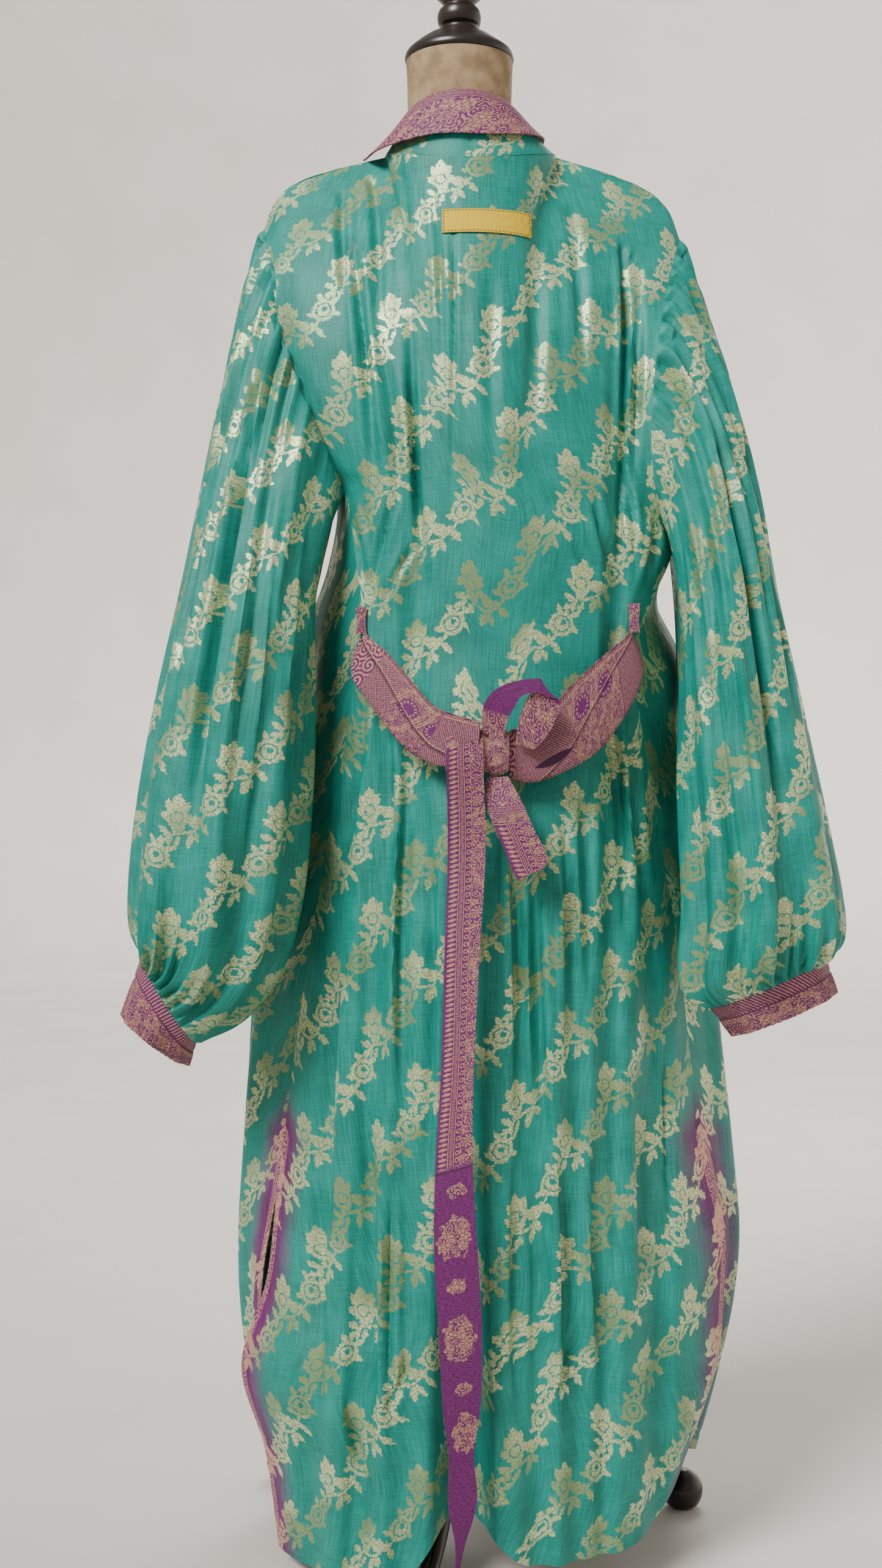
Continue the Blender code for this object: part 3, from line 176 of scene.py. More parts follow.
# Deep folds of the back panel: x at the top, x at the hem, half width, depth, top z, full z
BACK_FOLDS = np.array([
    [-0.050, -0.066, 0.020, 0.008, 1.27, 1.00],
    [0.148, 0.120, 0.018, 0.012, 1.30, 1.05],
    [-0.130, -0.158, 0.022, 0.010, 1.24, 0.70],
    [-0.085, -0.112, 0.020, 0.014, 0.92, 0.55],
    [0.048, 0.062, 0.022, 0.010, 0.90, 0.45],
    [0.098, 0.098, 0.018, 0.012, 0.80, 0.40],
    [0.176, 0.180, 0.020, 0.014, 0.88, 0.50],
    [-0.020, -0.036, 0.012, 0.006, 0.62, 0.40],
])
FOLD_MARGIN = 4.0
PLEAT_HEM = dict(at=-0.11, half_width=0.34)
PLEAT = dict(x=-0.008, top_width=0.0187, half_width=0.034, depth=0.058, start=0.72, full=0.87)

# Folds of the front panels: share across the panel, half width, depth, top z, full z
FRONT_FOLDS = np.array([
    [0.22, 0.10, 0.011, 0.95, 0.55],
    [0.45, 0.10, 0.013, 1.05, 0.60],
    [0.68, 0.09, 0.009, 1.10, 0.70],
    [0.86, 0.07, 0.007, 0.90, 0.50],
])

# Sleeve sections from head to cuff: outer x, y, z, inner x, y, z, half depth, armhole share
SLEEVE_LEFT = np.array([
    [-0.2266, 0.000, 1.301, -0.1310, -0.072, 1.036, 0.066, 0.62],
    [-0.2403, -0.004, 1.241, -0.1390, -0.076, 1.011, 0.072, 0.28],
    [-0.2537, -0.014, 1.161, -0.1475, -0.078, 0.980, 0.076, 0.06],
    [-0.2703, -0.028, 1.070, -0.1540, -0.082, 0.939, 0.079, 0.0],
    [-0.2890, -0.044, 0.966, -0.1565, -0.086, 0.881, 0.081, 0.0],
    [-0.3100, -0.060, 0.853, -0.1590, -0.092, 0.808, 0.082, 0.0],
    [-0.3250, -0.075, 0.746, -0.1638, -0.097, 0.732, 0.082, 0.0],
    [-0.3290, -0.086, 0.674, -0.1721, -0.101, 0.660, 0.080, 0.0],
    [-0.3270, -0.094, 0.634, -0.1890, -0.104, 0.599, 0.071, 0.0],
    [-0.3235, -0.099, 0.612, -0.2221, -0.106, 0.548, 0.054, 0.0],
    [-0.3205, -0.102, 0.603, -0.2675, -0.107, 0.519, 0.034, 0.0],
])
SLEEVE_RIGHT = np.array([
    [0.2330, 0.002, 1.288, 0.2060, -0.055, 0.976, 0.068, 0.62],
    [0.2510, 0.000, 1.227, 0.2058, -0.057, 0.952, 0.074, 0.28],
    [0.2700, -0.006, 1.162, 0.2056, -0.060, 0.922, 0.078, 0.06],
    [0.2910, -0.018, 1.071, 0.2056, -0.065, 0.884, 0.081, 0.0],
    [0.3088, -0.033, 0.957, 0.2060, -0.071, 0.837, 0.082, 0.0],
    [0.3307, -0.049, 0.838, 0.2075, -0.078, 0.775, 0.082, 0.0],
    [0.3490, -0.063, 0.736, 0.2115, -0.084, 0.708, 0.081, 0.0],
    [0.3590, -0.074, 0.664, 0.2140, -0.089, 0.646, 0.077, 0.0],
    [0.3600, -0.082, 0.628, 0.2095, -0.093, 0.593, 0.066, 0.0],
    [0.3560, -0.088, 0.609, 0.2130, -0.096, 0.566, 0.050, 0.0],
    [0.3460, -0.092, 0.600, 0.2322, -0.098, 0.552, 0.034, 0.0],
])
HEAD_GATHER = np.array([0.0, 0.4, 1.0, 0.7, 0.35, 0.1, 0.0, 0.0, 0.0, 0.0, 0.0, 0.0])
CUFF_GATHER = np.array([0.0, 0.0, 0.0, 0.05, 0.18, 0.35, 0.55, 0.75, 0.95, 1.0, 0.75, 0.0])
HEAD_WAVES = 9
CUFF_WAVES = 8
HEAD_DEPTH = 0.0055
CUFF_DEPTH = 0.0100
HEAD_UNEVEN = 0.6
CUFF_UNEVEN = 0.9
# Free edge of each cuff: outer x, y, z, inner x, y, z, half depth
CUFF_END = dict(
    left=np.array([-0.3400, -0.1000, 0.5450, -0.2790, -0.0790, 0.4940, 0.0360]),
    right=np.array([0.3570, -0.0840, 0.5650, 0.2570, -0.0880, 0.5240, 0.0310]),
)
CUFF_WALL = 0.0020
CUFF_WAVE = 0.036
CUFF_ROWS = 22
# Sewn line round a cuff: share of its length, half width as a share, depth
CUFF_GROOVE = (0.36, 0.06, 0.0012)
# Ribs past it: number, height, share where they start, share over which they grow
CUFF_RIBS = (46.0, 0.0006, 0.4, 0.2)
CUFF_LIFT = 0.0004
CUFF_ROUND = 0.27

STAND_TOP = dict(
    x=-0.008, half_width=0.0605, y_side=-0.002, y_back=-0.0600, z_side=1.436, z_back=1.4560)
BAND_WIDTH = 0.052
BAND_LIFT = 0.006
BAND_TURN = 0.11
BAND_BOW = 0.012
BAND_STEPS = 10
FALL_WALL = 0.0014
FALL_STEPS = 7
# Collar's fall over the stand's top: share of the stand's height, height above it, distance out
FALL_TOP = [
    (0.82, 0.0000, -0.0054),
    (1.00, 0.0010, -0.0050),
    (1.00, 0.0040, -0.0012),
    (1.00, 0.0012, 0.0036),
]
# Lower edge of the fall: share from left to right, height share, distance out from the stand
FALL_EDGE = np.array([
    [0.00, -0.50, 0.0160],
    [0.12, -0.05, 0.0125],
    [0.30, 0.27, 0.0075],
    [0.60, 0.32, 0.0060],
    [0.85, 0.36, 0.0055],
    [1.00, 0.42, 0.0045],
])

# Belt stretches from the side tab to the knot: upper x, z, lower x, z, y, half opening
BELT_LEFT = np.array([
    [-0.1035, 0.9150, -0.1130, 0.9000, -0.1050, 0.0022],
    [-0.0960, 0.9060, -0.1145, 0.8740, -0.1195, 0.0040],
    [-0.0800, 0.8906, -0.0970, 0.8480, -0.1380, 0.0060],
    [-0.0513, 0.8560, -0.0700, 0.8120, -0.1520, 0.0070],
    [-0.0360, 0.8400, -0.0470, 0.7950, -0.1600, 0.0055],
    [-0.0262, 0.8350, -0.0262, 0.7880, -0.1740, 0.0035],
    [0.0060, 0.8260, 0.0050, 0.7980, -0.1850, 0.0020],
])
BELT_RIGHT = np.array([
    [0.0345, 0.8180, 0.0345, 0.7770, -0.1660, 0.0035],
    [0.0560, 0.8230, 0.0580, 0.7730, -0.1600, 0.0070],
    [0.0760, 0.8400, 0.0942, 0.7870, -0.1560, 0.0095],
    [0.1000, 0.8650, 0.1220, 0.8060, -0.1440, 0.0090],
    [0.1290, 0.8920, 0.1500, 0.8440, -0.1280, 0.0060],
    [0.1500, 0.9100, 0.1640, 0.8780, -0.1150, 0.0040],
    [0.1540, 0.9170, 0.1620, 0.9020, -0.1010, 0.0022],
])
BELT_WALL = 0.0014
# Folded belt in section: share from upper to lower edge, share of the half opening
BELT_PROFILE = np.array([
    [0.00, -1.00], [0.50, -0.95], [0.94, -0.45], [1.00, 0.00], [0.94, 0.45], [0.50, 0.95],
    [-0.06, 1.00],
])
BELT_STEPS = 8
BELT_ROWS = 90

KNOT_CENTRE = np.array([0.004, -0.1700, 0.800])
KNOT_HALF = np.array([0.0298, 0.0140, 0.0230])
KNOT_SQUARENESS = 0.7
KNOT_WRINKLES = 11
KNOT_PINCH = 0.09
# How far a wrinkle winds on along the knot, and its waist: place, half width, depth
KNOT_WIND = 5.0
KNOT_WAIST = (0.30, 0.16, 0.16)
KNOT_ROWS, KNOT_COLUMNS = 60, 64
KNOT_PROFILE = np.array([
    [-1.00, 0.80], [-0.70, 0.98], [-0.15, 0.92], [0.30, 1.00], [0.75, 0.95], [1.00, 0.78],
])

# Long tail, its top end laid over the knot: z, left x, right x, y
TAIL_LONG = np.array([
    [0.8130, -0.0246, 0.0084, -0.1880],
    [0.7980, -0.0250, 0.0092, -0.1900],
    [0.7771, -0.0248, 0.0096, -0.1890],
    [0.7500, -0.0242, 0.0108, -0.1865],
    [0.7200, -0.0238, 0.0115, -0.1850],
    [0.6220, -0.0265, 0.0063, -0.1930],
    [0.5000, -0.0300, 0.0000, -0.1990],
    [0.4200, -0.0350, -0.0010, -0.2030],
    [0.3360, -0.0362, 0.0040, -0.2070],
    [0.2650, -0.0320, 0.0078, -0.2100],
    [0.1950, -0.0278, 0.0057, -0.2120],
    [0.1526, -0.0229, 0.0000, -0.2130],
    [0.1130, -0.0235, 0.0029, -0.2135],
    [0.0680, -0.0165, -0.0097, -0.2140],
    [0.0380, -0.0190, -0.0160, -0.2140],
])
# Short tail: left x, z, right x, z, y
TAIL_SHORT = np.array([
    [0.0125, 0.7768, 0.0330, 0.7768, -0.1760],
    [0.0125, 0.7500, 0.0470, 0.7500, -0.1840],
    [0.0230, 0.7230, 0.0560, 0.7290, -0.1860],
    [0.0375, 0.6880, 0.0680, 0.7050, -0.1860],
    [0.0420, 0.6800, 0.0670, 0.6930, -0.1855],
])
# Bow loop, up from the knot, round and back: x, y, z, half width, width direction x, z
BOW_LOOP = np.array([
    [0.0185, -0.1800, 0.8140, 0.0100, 0.95, -0.30],
    [0.0200, -0.1850, 0.8330, 0.0125, 0.95, -0.30],
    [0.0275, -0.1890, 0.8480, 0.0125, 0.85, -0.52],
    [0.0420, -0.1910, 0.8585, 0.0075, 0.50, -0.86],
    [0.0600, -0.1915, 0.8610, 0.0070, 0.15, -0.99],
    [0.0690, -0.1890, 0.8560, 0.0120, 0.75, -0.66],
    [0.0645, -0.1860, 0.8440, 0.0160, 0.98, -0.20],
    [0.0590, -0.1835, 0.8290, 0.0160, 0.97, -0.24],
    [0.0530, -0.1810, 0.8150, 0.0130, 0.95, -0.30],
    [0.0480, -0.1780, 0.8050, 0.0090, 0.95, -0.30],
])
TAIL_SLANT = 0.010
TAIL_TWIST = 0.004
TWIST_RATE = 9.0
SHORT_TURN = 0.003
# Fine rows and columns of the belt's hanging pieces, its bow loop and its tabs
TAIL_LONG_ROWS, TAIL_SHORT_ROWS, BOW_ROWS, TAB_ROWS = 260, 60, 150, 24
TAIL_COLUMNS, SHORT_COLUMNS, TAB_COLUMNS = 12, 16, 8

# Side tabs that hold the belt ends: centre x, y, top z, bottom z, width
TAB_LEFT = (-0.1075, -0.1005, 0.9420, 0.9158, 0.0110)
TAB_RIGHT = (0.1580, -0.0975, 0.9460, 0.9178, 0.0120)
TAB_PINCH = np.array([1.0, 0.85, 0.80, 0.95])

LABEL_BOX = (-0.0291, 0.0594, 1.3070, 1.3326)
LABEL_LIFT = 0.0012
LABEL_THICK = 0.0010
# Its grid, and the back's columns beside the middle that it follows
LABEL_ROWS, LABEL_COLUMNS = 20, 60
LABEL_REACH = (-40, 60)

# Dress form's torso and neck: height, half width, half depth
FORM_RINGS = np.array([
    [0.790, 0.122, 0.096],
    [0.800, 0.130, 0.103],
    [0.860, 0.131, 0.104],
    [0.950, 0.115, 0.092],
    [1.040, 0.106, 0.082],
    [1.130, 0.120, 0.090],
    [1.210, 0.144, 0.092],
    [1.270, 0.162, 0.076],
    [1.310, 0.172, 0.058],
    [1.338, 0.172, 0.043],
    [1.358, 0.163, 0.031],
    [1.374, 0.145, 0.023],
    [1.386, 0.112, 0.017],
    [1.394, 0.082, 0.018],
    [1.403, 0.066, 0.034],
    [1.414, 0.0560, 0.0460],
    [1.430, 0.0525, 0.0520],
    [1.465, 0.0530, 0.0530],
    [1.508, 0.0545, 0.0545],
])

# Size of the ring at a pole, as a share of its neighbour
POLE_SHARE = 1e-4
# Turned parts, a row for each ring: height, radius
NECK_CAP = np.array([
    [1.5083, 0.0520], [1.5090, 0.0555], [1.5130, 0.0560], [1.5180, 0.0535], [1.5270, 0.0430],
    [1.5330, 0.0345],
])
FINIAL = np.array([
    [1.5333, 0.0330], [1.5340, 0.0240], [1.5430, 0.0180], [1.5470, 0.0215], [1.5540, 0.0228],
    [1.5610, 0.0210], [1.5650, 0.0165], [1.5700, 0.0185], [1.5780, 0.0260], [1.5900, 0.0300],
    [1.6020, 0.0280], [1.6130, 0.0210], [1.6180, 0.0120], [1.6240, 0.0130], [1.6300, 0.0080],
])
POLE = np.array([
    [0.1703, 0.0200], [0.1900, 0.0230], [0.2100, 0.0150], [0.4200, 0.0170], [0.6000, 0.0150],
    [0.7400, 0.0180], [0.7600, 0.0280], [0.7897, 0.0300],
])
HUB = np.array([
    [0.0680, 0.0200], [0.0780, 0.0380], [0.1000, 0.0450], [0.1250, 0.0450], [0.1450, 0.0370],
    [0.1600, 0.0260], [0.1700, 0.0240],
])

# Legs of the stand: turns in degrees; distance out, height, half width, half height along one
LEG_ANGLES = (19.0, 139.0, 259.0)
LEG_PATH = np.array([
    [0.0453, 0.108, 0.0120, 0.0150], [0.0750, 0.088, 0.0115, 0.0130],
    [0.1100, 0.052, 0.0105, 0.0110], [0.1500, 0.033, 0.0100, 0.0095],
    [0.1950, 0.0265, 0.0100, 0.0090], [0.2450, 0.0240, 0.0100, 0.0110],
])
FOOT_CENTRE = 0.2520
# Round foot: height, radius
FOOT_PROFILE = np.array([
    [0.0, 0.0110], [0.0048, 0.0172], [0.0140, 0.0210], [0.0240, 0.0210], [0.0340, 0.0150],
    [0.0400, 0.0060],
])

# Fine rows and columns of the turned pieces, the torso, the legs and the feet
TURNED_COLUMNS, TURNED_STEPS = 64, 6
TORSO_ROWS, TORSO_COLUMNS = 150, 96
LEG_ROWS, LEG_COLUMNS, FOOT_ROWS = 60, 32, 36

# Floor and wall in section: radius, height
STAGE_PROFILE = np.array([
    [0.0, 0.0], [4.5, 0.0], [6.0, 0.0], [7.2, 0.25], [7.9, 1.0], [8.2, 2.6], [8.2, 4.4], [8.2, 6.2],
])
STAGE_ROWS, STAGE_COLUMNS = 60, 96
STAGE_MIDDLE = 1e-4
WORLD_COLOUR = (1.0, 0.98, 0.95)
WORLD_STRENGTH = 0.38
# Key light: a wide soft sun, 40 degrees up, from behind the camera's left shoulder
KEY_STRENGTH = 4.9
KEY_WIDTH = 24.0
KEY_COLOUR = (1.0, 0.985, 0.96)
KEY_DIRECTION = (0.60, 0.74, -0.80)
# Rim light from the far side: place, aim, size, power, colour
RIM_LIGHT = ((0.6, 2.6, 2.6), (0.0, 0.0, 1.0), 1.6, 40.0, (1.0, 0.98, 0.96))
CAMERA_PLACE = (-0.03, -2.0, 0.77)
SENSOR = 36.0
IMAGE_HEIGHT = 2569.0
FOCAL_PIXELS = 3200.0


# Parts of a place that count: depth alone, seen from above, seen from behind
DEPTHWARDS = np.array([0.0, 1.0, 0.0])
LEVEL = np.array([1.0, 1.0, 0.0])
UPRIGHT = np.array([1.0, 0.0, 1.0])


def hermite(keys, values, at):
    """Cubic pieces through values at the keys, with central differences as their slopes."""
    slopes = np.gradient(values, keys, axis=0)
    at = np.clip(np.asarray(at, dtype=float), keys[0], keys[-1])
    low = np.clip(np.searchsorted(keys, at, side="right") - 1, 0, len(keys) - 2)
    tail = (1,) * (values.ndim - 1)
    step = (keys[low + 1] - keys[low]).reshape(-1, *tail)
    t = (at - keys[low]).reshape(-1, *tail) / step
    near = (2 * t ** 3 - 3 * t ** 2 + 1) * values[low] + (3 * t ** 2 - 2 * t ** 3) * values[low + 1]
    bend = (t ** 3 - 2 * t ** 2 + t) * slopes[low] + (t ** 3 - t ** 2) * slopes[low + 1]
    return near + bend * step


def spline(table, at):
    """Smooth curve through a table whose first column is the parameter."""
    return hermite(table[:, 0], table[:, 1:], at)


def through(rows, at):
    """Smooth curve through rows that are numbered from zero."""
    return hermite(np.arange(len(rows), dtype=float), rows, at)


def evenly(table, count):
    """Smooth curve through the rows of a table, its rows taken as evenly spaced."""
    return hermite(np.linspace(0.0, 1.0, len(table)), table, np.linspace(0.0, 1.0, count))


def unit(vectors):
    """Vectors divided by their own length."""
    length = np.linalg.norm(vectors, axis=-1, keepdims=True)
    return vectors / np.maximum(length, 1e-12)


def bump(t):
    """Soft hill (1 - t^2)^2: one at the middle, zero with level ends at t = -1 and 1."""
    return np.clip(1.0 - t ** 2, 0.0, 1.0) ** 2


def ramp(t):
    """Smooth step 3t^2 - 2t^3 from zero to one."""
    t = np.clip(t, 0.0, 1.0)
    return t * t * (3.0 - 2.0 * t)


def ring_angles(count):
    """Even turns round a closed ring, in radians."""
    return 2.0 * math.pi * np.arange(count) / count


def steps(count, between):
    """Positions 0 to count with that many fine steps between whole numbers."""
    return np.linspace(0.0, count, count * between + 1)


def resample(grid, row_at, column_at, ring=False):
    """Finer grid: smooth curves through the rows, then through the columns."""
    rows = through(grid, row_at)
    across = rows.swapaxes(0, 1)
    first = 0
    if ring:
        across = np.concatenate([across[-3:], across, across[:3]])
        first = -3
    keys = np.arange(first, first + len(across), dtype=float)
    return hermite(keys, across, column_at).swapaxes(0, 1)


def grid_normals(points, ring=False, flip=False):
    """Unit normals of a grid: cross product of its steps down the rows and across the columns."""
    if ring:
        across = np.roll(points, -1, axis=1) - np.roll(points, 1, axis=1)
    else:
        across = np.gradient(points, axis=1)
    normal = unit(np.cross(np.gradient(points, axis=0), across))
    return -normal if flip else normal


def lengths(points, axis):
    """Distance along a grid's lines from their first point."""
    step = np.linalg.norm(np.diff(points, axis=axis), axis=2)
    start = np.zeros_like(points[..., 0].take([0], axis=axis))
    return np.concatenate([start, np.cumsum(step, axis=axis)], axis=axis)


def place_object(name, data):
    """Object in the scene that shows a mesh, a light or a camera."""
    made = bpy.data.objects.new(name, data)
    bpy.context.scene.collection.objects.link(made)
    return made


def make_object(name, points, faces, corner_uv, finish, edge_uv=None):
    """Mesh object from arrays of points and four-sided faces, with a UV pair for each corner."""
    mesh = bpy.data.meshes.new(name)
    mesh.vertices.add(len(points))
    mesh.vertices.foreach_set("co", (points + PLACE).astype(np.float32).ravel())
    mesh.loops.add(faces.size)
    mesh.loops.foreach_set("vertex_index", faces.astype(np.int32).ravel())
    mesh.polygons.add(len(faces))
    mesh.polygons.foreach_set("loop_start", np.arange(0, faces.size, 4, dtype=np.int32))
    mesh.update(calc_edges=True)
    layers = [("cloth", corner_uv)]
    if edge_uv is not None:
        layers.append(("edges", edge_uv))
    for layer_name, values in layers:
        layer = mesh.uv_layers.new(name=layer_name)
        layer.data.foreach_set("uv", values.astype(np.float32).ravel())
    mesh.validate()
    mesh.shade_smooth()
    mesh.set_sharp_from_angle(angle=math.radians(SHARP_ANGLE))
    mesh.materials.append(finish)
    return place_object(name, mesh)


def corner_pairs(rows, columns):
    """Row and column numbers of each quad's corners, row after row."""
    row, column = np.meshgrid(np.arange(rows), np.arange(columns), indexing="ij")
    row = row.ravel()[:, None] + np.array([0, 1, 1, 0])
    column = column.ravel()[:, None] + np.array([0, 0, 1, 1])
    return row, column


def shell(name, outer, inner, uv, finish, ring=False, flip=False, edges=None):
    """Close an outer and an inner grid into one thin wall with a rim round each open edge."""
    height, wide = outer.shape[:2]
    columns = wide if ring else wide - 1
    row, column = corner_pairs(height - 1, columns)
    half = height * wide
    outer_face = row * wide + column % wide
    width_uv = uv.shape[1]
    outer_uv = row * width_uv + column
    faces = [outer_face, outer_face[:, ::-1] + half]
    picks = [outer_uv, outer_uv[:, ::-1]]

    def rim(rows_a, columns_a, rows_b, columns_b):
        a = rows_a * wide + columns_a % wide
        b = rows_b * wide + columns_b % wide
        faces.append(np.stack([a, b, b + half, a + half], axis=1))
        pick_a = rows_a * width_uv + columns_a
        pick_b = rows_b * width_uv + columns_b
        picks.append(np.stack([pick_a, pick_b, pick_b, pick_a], axis=1))

    across = np.arange(columns)
    zero = np.zeros_like(across)
    last = zero + height - 1
    rim(zero, across, zero, across + 1)
    rim(last, across + 1, last, across)
    if not ring:
        down = np.arange(height - 1)
        left = np.zeros_like(down)
        right = left + wide - 1
        rim(down + 1, left, down, left)
        rim(down, right, down + 1, right)
    faces = np.concatenate(faces)
    picks = np.concatenate(picks)
    if flip:
        faces = faces[:, ::-1]
        picks = picks[:, ::-1]
    points = np.concatenate([outer.reshape(-1, 3), inner.reshape(-1, 3)])
    corner_uv = uv.reshape(-1, 2)[picks.ravel()]
    edge_uv = None if edges is None else edges.reshape(-1, 2)[picks.ravel()]
    return make_object(name, points, faces, corner_uv, finish, edge_uv)


def stand_for(made, node):
    """Let a piece ride on the part and take the place of a solid."""
    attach(made, "root")
    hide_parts(node)
    return made


# Shapes of the robe's pieces, in the robe's frame

def armhole_edge(table, x_column, count):
    """Points down one edge of an armhole, evenly along the table's rows."""
    shares = np.linspace(0.0, 1.0, len(table))
    keyed = table[:, [x_column, x_column + 1, 0]]
    return hermite(shares, keyed, np.linspace(0.0, 1.0, count + 1))


def shoulder_line(tip, neck, count):
    """Straight line from the tip to the neck plus a rise that is highest near the tip."""
    t = np.linspace(0.0, 1.0, count + 1)[:, None]
    line = (1.0 - t) * np.asarray(tip) + t * np.asarray(neck)
    line[:, 2] += spline(SHOULDER_RISE, t[:, 0])[:, 0]
    return line


def neck_line(count):
    """Half an oval from one neck point to the other, dipping towards its middle."""
    angle = np.linspace(math.pi, 0.0, count + 1)
    dip = np.sin(angle)
    x = NECK_POINT[0] * np.cos(angle)
    y = NECK_POINT[1] + (NECK_BACK[0] - NECK_POINT[1]) * dip
    z = NECK_POINT[2] + (NECK_BACK[1] - NECK_POINT[2]) * dip ** NECK_DIP_POWER
    return np.stack([x, y, z], axis=1)


def fill_between(top, bottom, left, right):
    """Straight blend of the side edges plus the bends of the top and bottom edges, faded."""
    u = np.linspace(0.0, 1.0, len(top))[None, :, None]
    v = np.linspace(0.0, 1.0, len(left))[:, None, None]
    sides = (1 - u) * left[:, None] + u * right[:, None]
    top_bend = top[None] - (1 - u) * top[0] - u * top[-1]
    low_bend = bottom[None] - (1 - u) * bottom[0] - u * bottom[-1]
    fade = (1 - v) ** TOP_FADE
    return sides + fade * top_bend + (1 - fade) * low_bend


def column_shares(count):
    """Columns across the back, closer together at the middle, where the pleat is."""
    t = np.linspace(-1.0, 1.0, count + 1)
    return 0.5 + 0.5 * ((1.0 - COLUMN_CROWDING) * t + COLUMN_CROWDING * t * np.abs(t))


def back_rows(drops, count):
    """Rows of the back below the underarm: between the side seams, rounded out to the middle."""
    share = column_shares(count)
    s = 2.0 * share - 1.0
    low = np.where(s < 0.0, HEM_LEFT, HEM_RIGHT)
    pleat = bump((s - PLEAT_HEM["at"]) / PLEAT_HEM["half_width"])
    hem = low * (1.0 - pleat) + HEM_PLEAT * pleat
    corner = np.where(s < 0.0, HEM_CORNER_LEFT, HEM_CORNER_RIGHT)
    hem = hem + (corner - hem) * np.abs(s) ** BACK_CORNER_POWER
    top = (1.0 - share) * ARMHOLE_LEFT[-1, 0] + share * ARMHOLE_RIGHT[-1, 0]
    left = spline(SIDE_LEFT, drops)
    right = spline(SIDE_RIGHT, drops)
    middle = spline(BACK_MIDDLE, drops)[:, 0]
    x = left[:, :1] + (right[:, :1] - left[:, :1]) * share
    edge = left[:, 1:2] + (right[:, 1:2] - left[:, 1:2]) * share
    y = edge + (middle[:, None] - edge) * (1.0 - np.abs(s) ** BACK_ROUNDNESS)
    z = top + (hem - top) * drops[:, None]
    return np.stack([x, y, z], axis=2)


def relax(points, rounds):
    """Even out the depth of a grid's inner points, its edges kept."""
    for _ in range(rounds):
        y = points[..., 1]
        mean = 0.25 * (y[:-2, 1:-1] + y[2:, 1:-1] + y[1:-1, :-2] + y[1:-1, 2:])
        points[1:-1, 1:-1, 1] = mean


def back_folds(points):
    """Depth of the deep folds and of the centre pleat at each point of the back."""
    x = points[..., 0]
    z = points[..., 2]
    depth = np.zeros_like(x)
    for top_x, hem_x, half, deep, z_top, z_full in BACK_FOLDS:
        centre = hem_x + (top_x - hem_x) * np.clip(z / z_top, 0.0, 1.0)
        depth += deep * bump((x - centre) / half) * ramp((z_top - z) / (z_top - z_full))
    open_out = np.clip(1.0 - z / PLEAT["start"], 0.0, 1.0)
    half = PLEAT["top_width"] + (PLEAT["half_width"] - PLEAT["top_width"]) * open_out
    depth += PLEAT["depth"] * ramp(open_out / PLEAT["full"]) * bump((x - PLEAT["x"]) / half)
    return depth


ROW_AT = np.concatenate([
    steps(ARMHOLE_ROWS, ARMHOLE_STEPS),
    ARMHOLE_ROWS + steps(len(LOWER_ROWS), LOWER_STEPS)[1:],
])
SEAM_ROWS = ARMHOLE_ROWS * ARMHOLE_STEPS


def back_base():
    """Back panel without folds, on the solid's own grid: shoulders, armholes, sides and hem."""
    left = armhole_edge(ARMHOLE_LEFT, 1, ARMHOLE_ROWS)
    right = armhole_edge(ARMHOLE_RIGHT, 1, ARMHOLE_ROWS)
    neck = neck_line(NECK_COLUMNS)
    top = np.concatenate([
        shoulder_line(left[0], neck[0], SHOULDER_COLUMNS)[:-1],
        neck,
        shoulder_line(right[0], neck[-1], SHOULDER_COLUMNS)[::-1][1:],
    ])
    lower = back_rows(np.concatenate([[0.0], LOWER_ROWS]), 2 * SHOULDER_COLUMNS + NECK_COLUMNS)
    points = np.concatenate([fill_between(top, lower[0], left, right)[:-1], lower])
    relax(points[:ARMHOLE_ROWS + 3], RELAX_ROUNDS)
    return points


def back_panel():
    """Fine back panel with its deep folds."""
    base = back_base()
    columns = steps(base.shape[1] - 1, BACK_STEPS)
    points = resample(base, ROW_AT, columns)
    column = np.minimum(columns, columns[::-1])
    points[..., 1] += back_folds(points) * ramp(column / FOLD_MARGIN)
    return points


def front_base(back, side, front, armhole, sign):
    """Front panel without folds: a bent plan curve from side seam to front edge in each row."""
    count = SHOULDER_COLUMNS
    shoulder = back[0, :count + 1].copy() if sign < 0 else back[0, ::-1][:count + 1].copy()
    arm = armhole_edge(armhole, 3, ARMHOLE_ROWS)
    edge = spline(FRONT_EDGE, np.linspace(0.0, 1.0, ARMHOLE_ROWS + 1))
    edge[:, 0] *= sign
    drops = np.concatenate([[0.0], LOWER_ROWS])
    corner = HEM_CORNER_LEFT if sign < 0 else HEM_CORNER_RIGHT
    both = spline(side, drops)
    seam = np.where(drops[:, None] <= SLIT_SHARE, both[:, 0:2], both[:, 2:4])
    plan = spline(front, drops)
    t = np.linspace(0.0, 1.0, count + 1)[None, :, None]
    flat = ((1 - t) ** 3 * seam[:, None] + 3 * (1 - t) ** 2 * t * plan[:, None, 0:2]
            + 3 * (1 - t) * t ** 2 * plan[:, None, 2:4] + t ** 3 * plan[:, None, 4:6])
    share = t[0, :, 0]
    top = armhole[-1, 0] + (FRONT_EDGE[-1, 3] - armhole[-1, 0]) * share
    hem = HEM_FRONT + (corner - HEM_FRONT) * (1.0 - share) ** FRONT_CORNER_POWER
    z = top + (hem - top) * drops[:, None]
    lower = np.concatenate([flat, z[..., None]], axis=2)
    edge[-1] = lower[0, -1]
    return np.concatenate([fill_between(shoulder, lower[0], arm, edge)[:-1], lower])


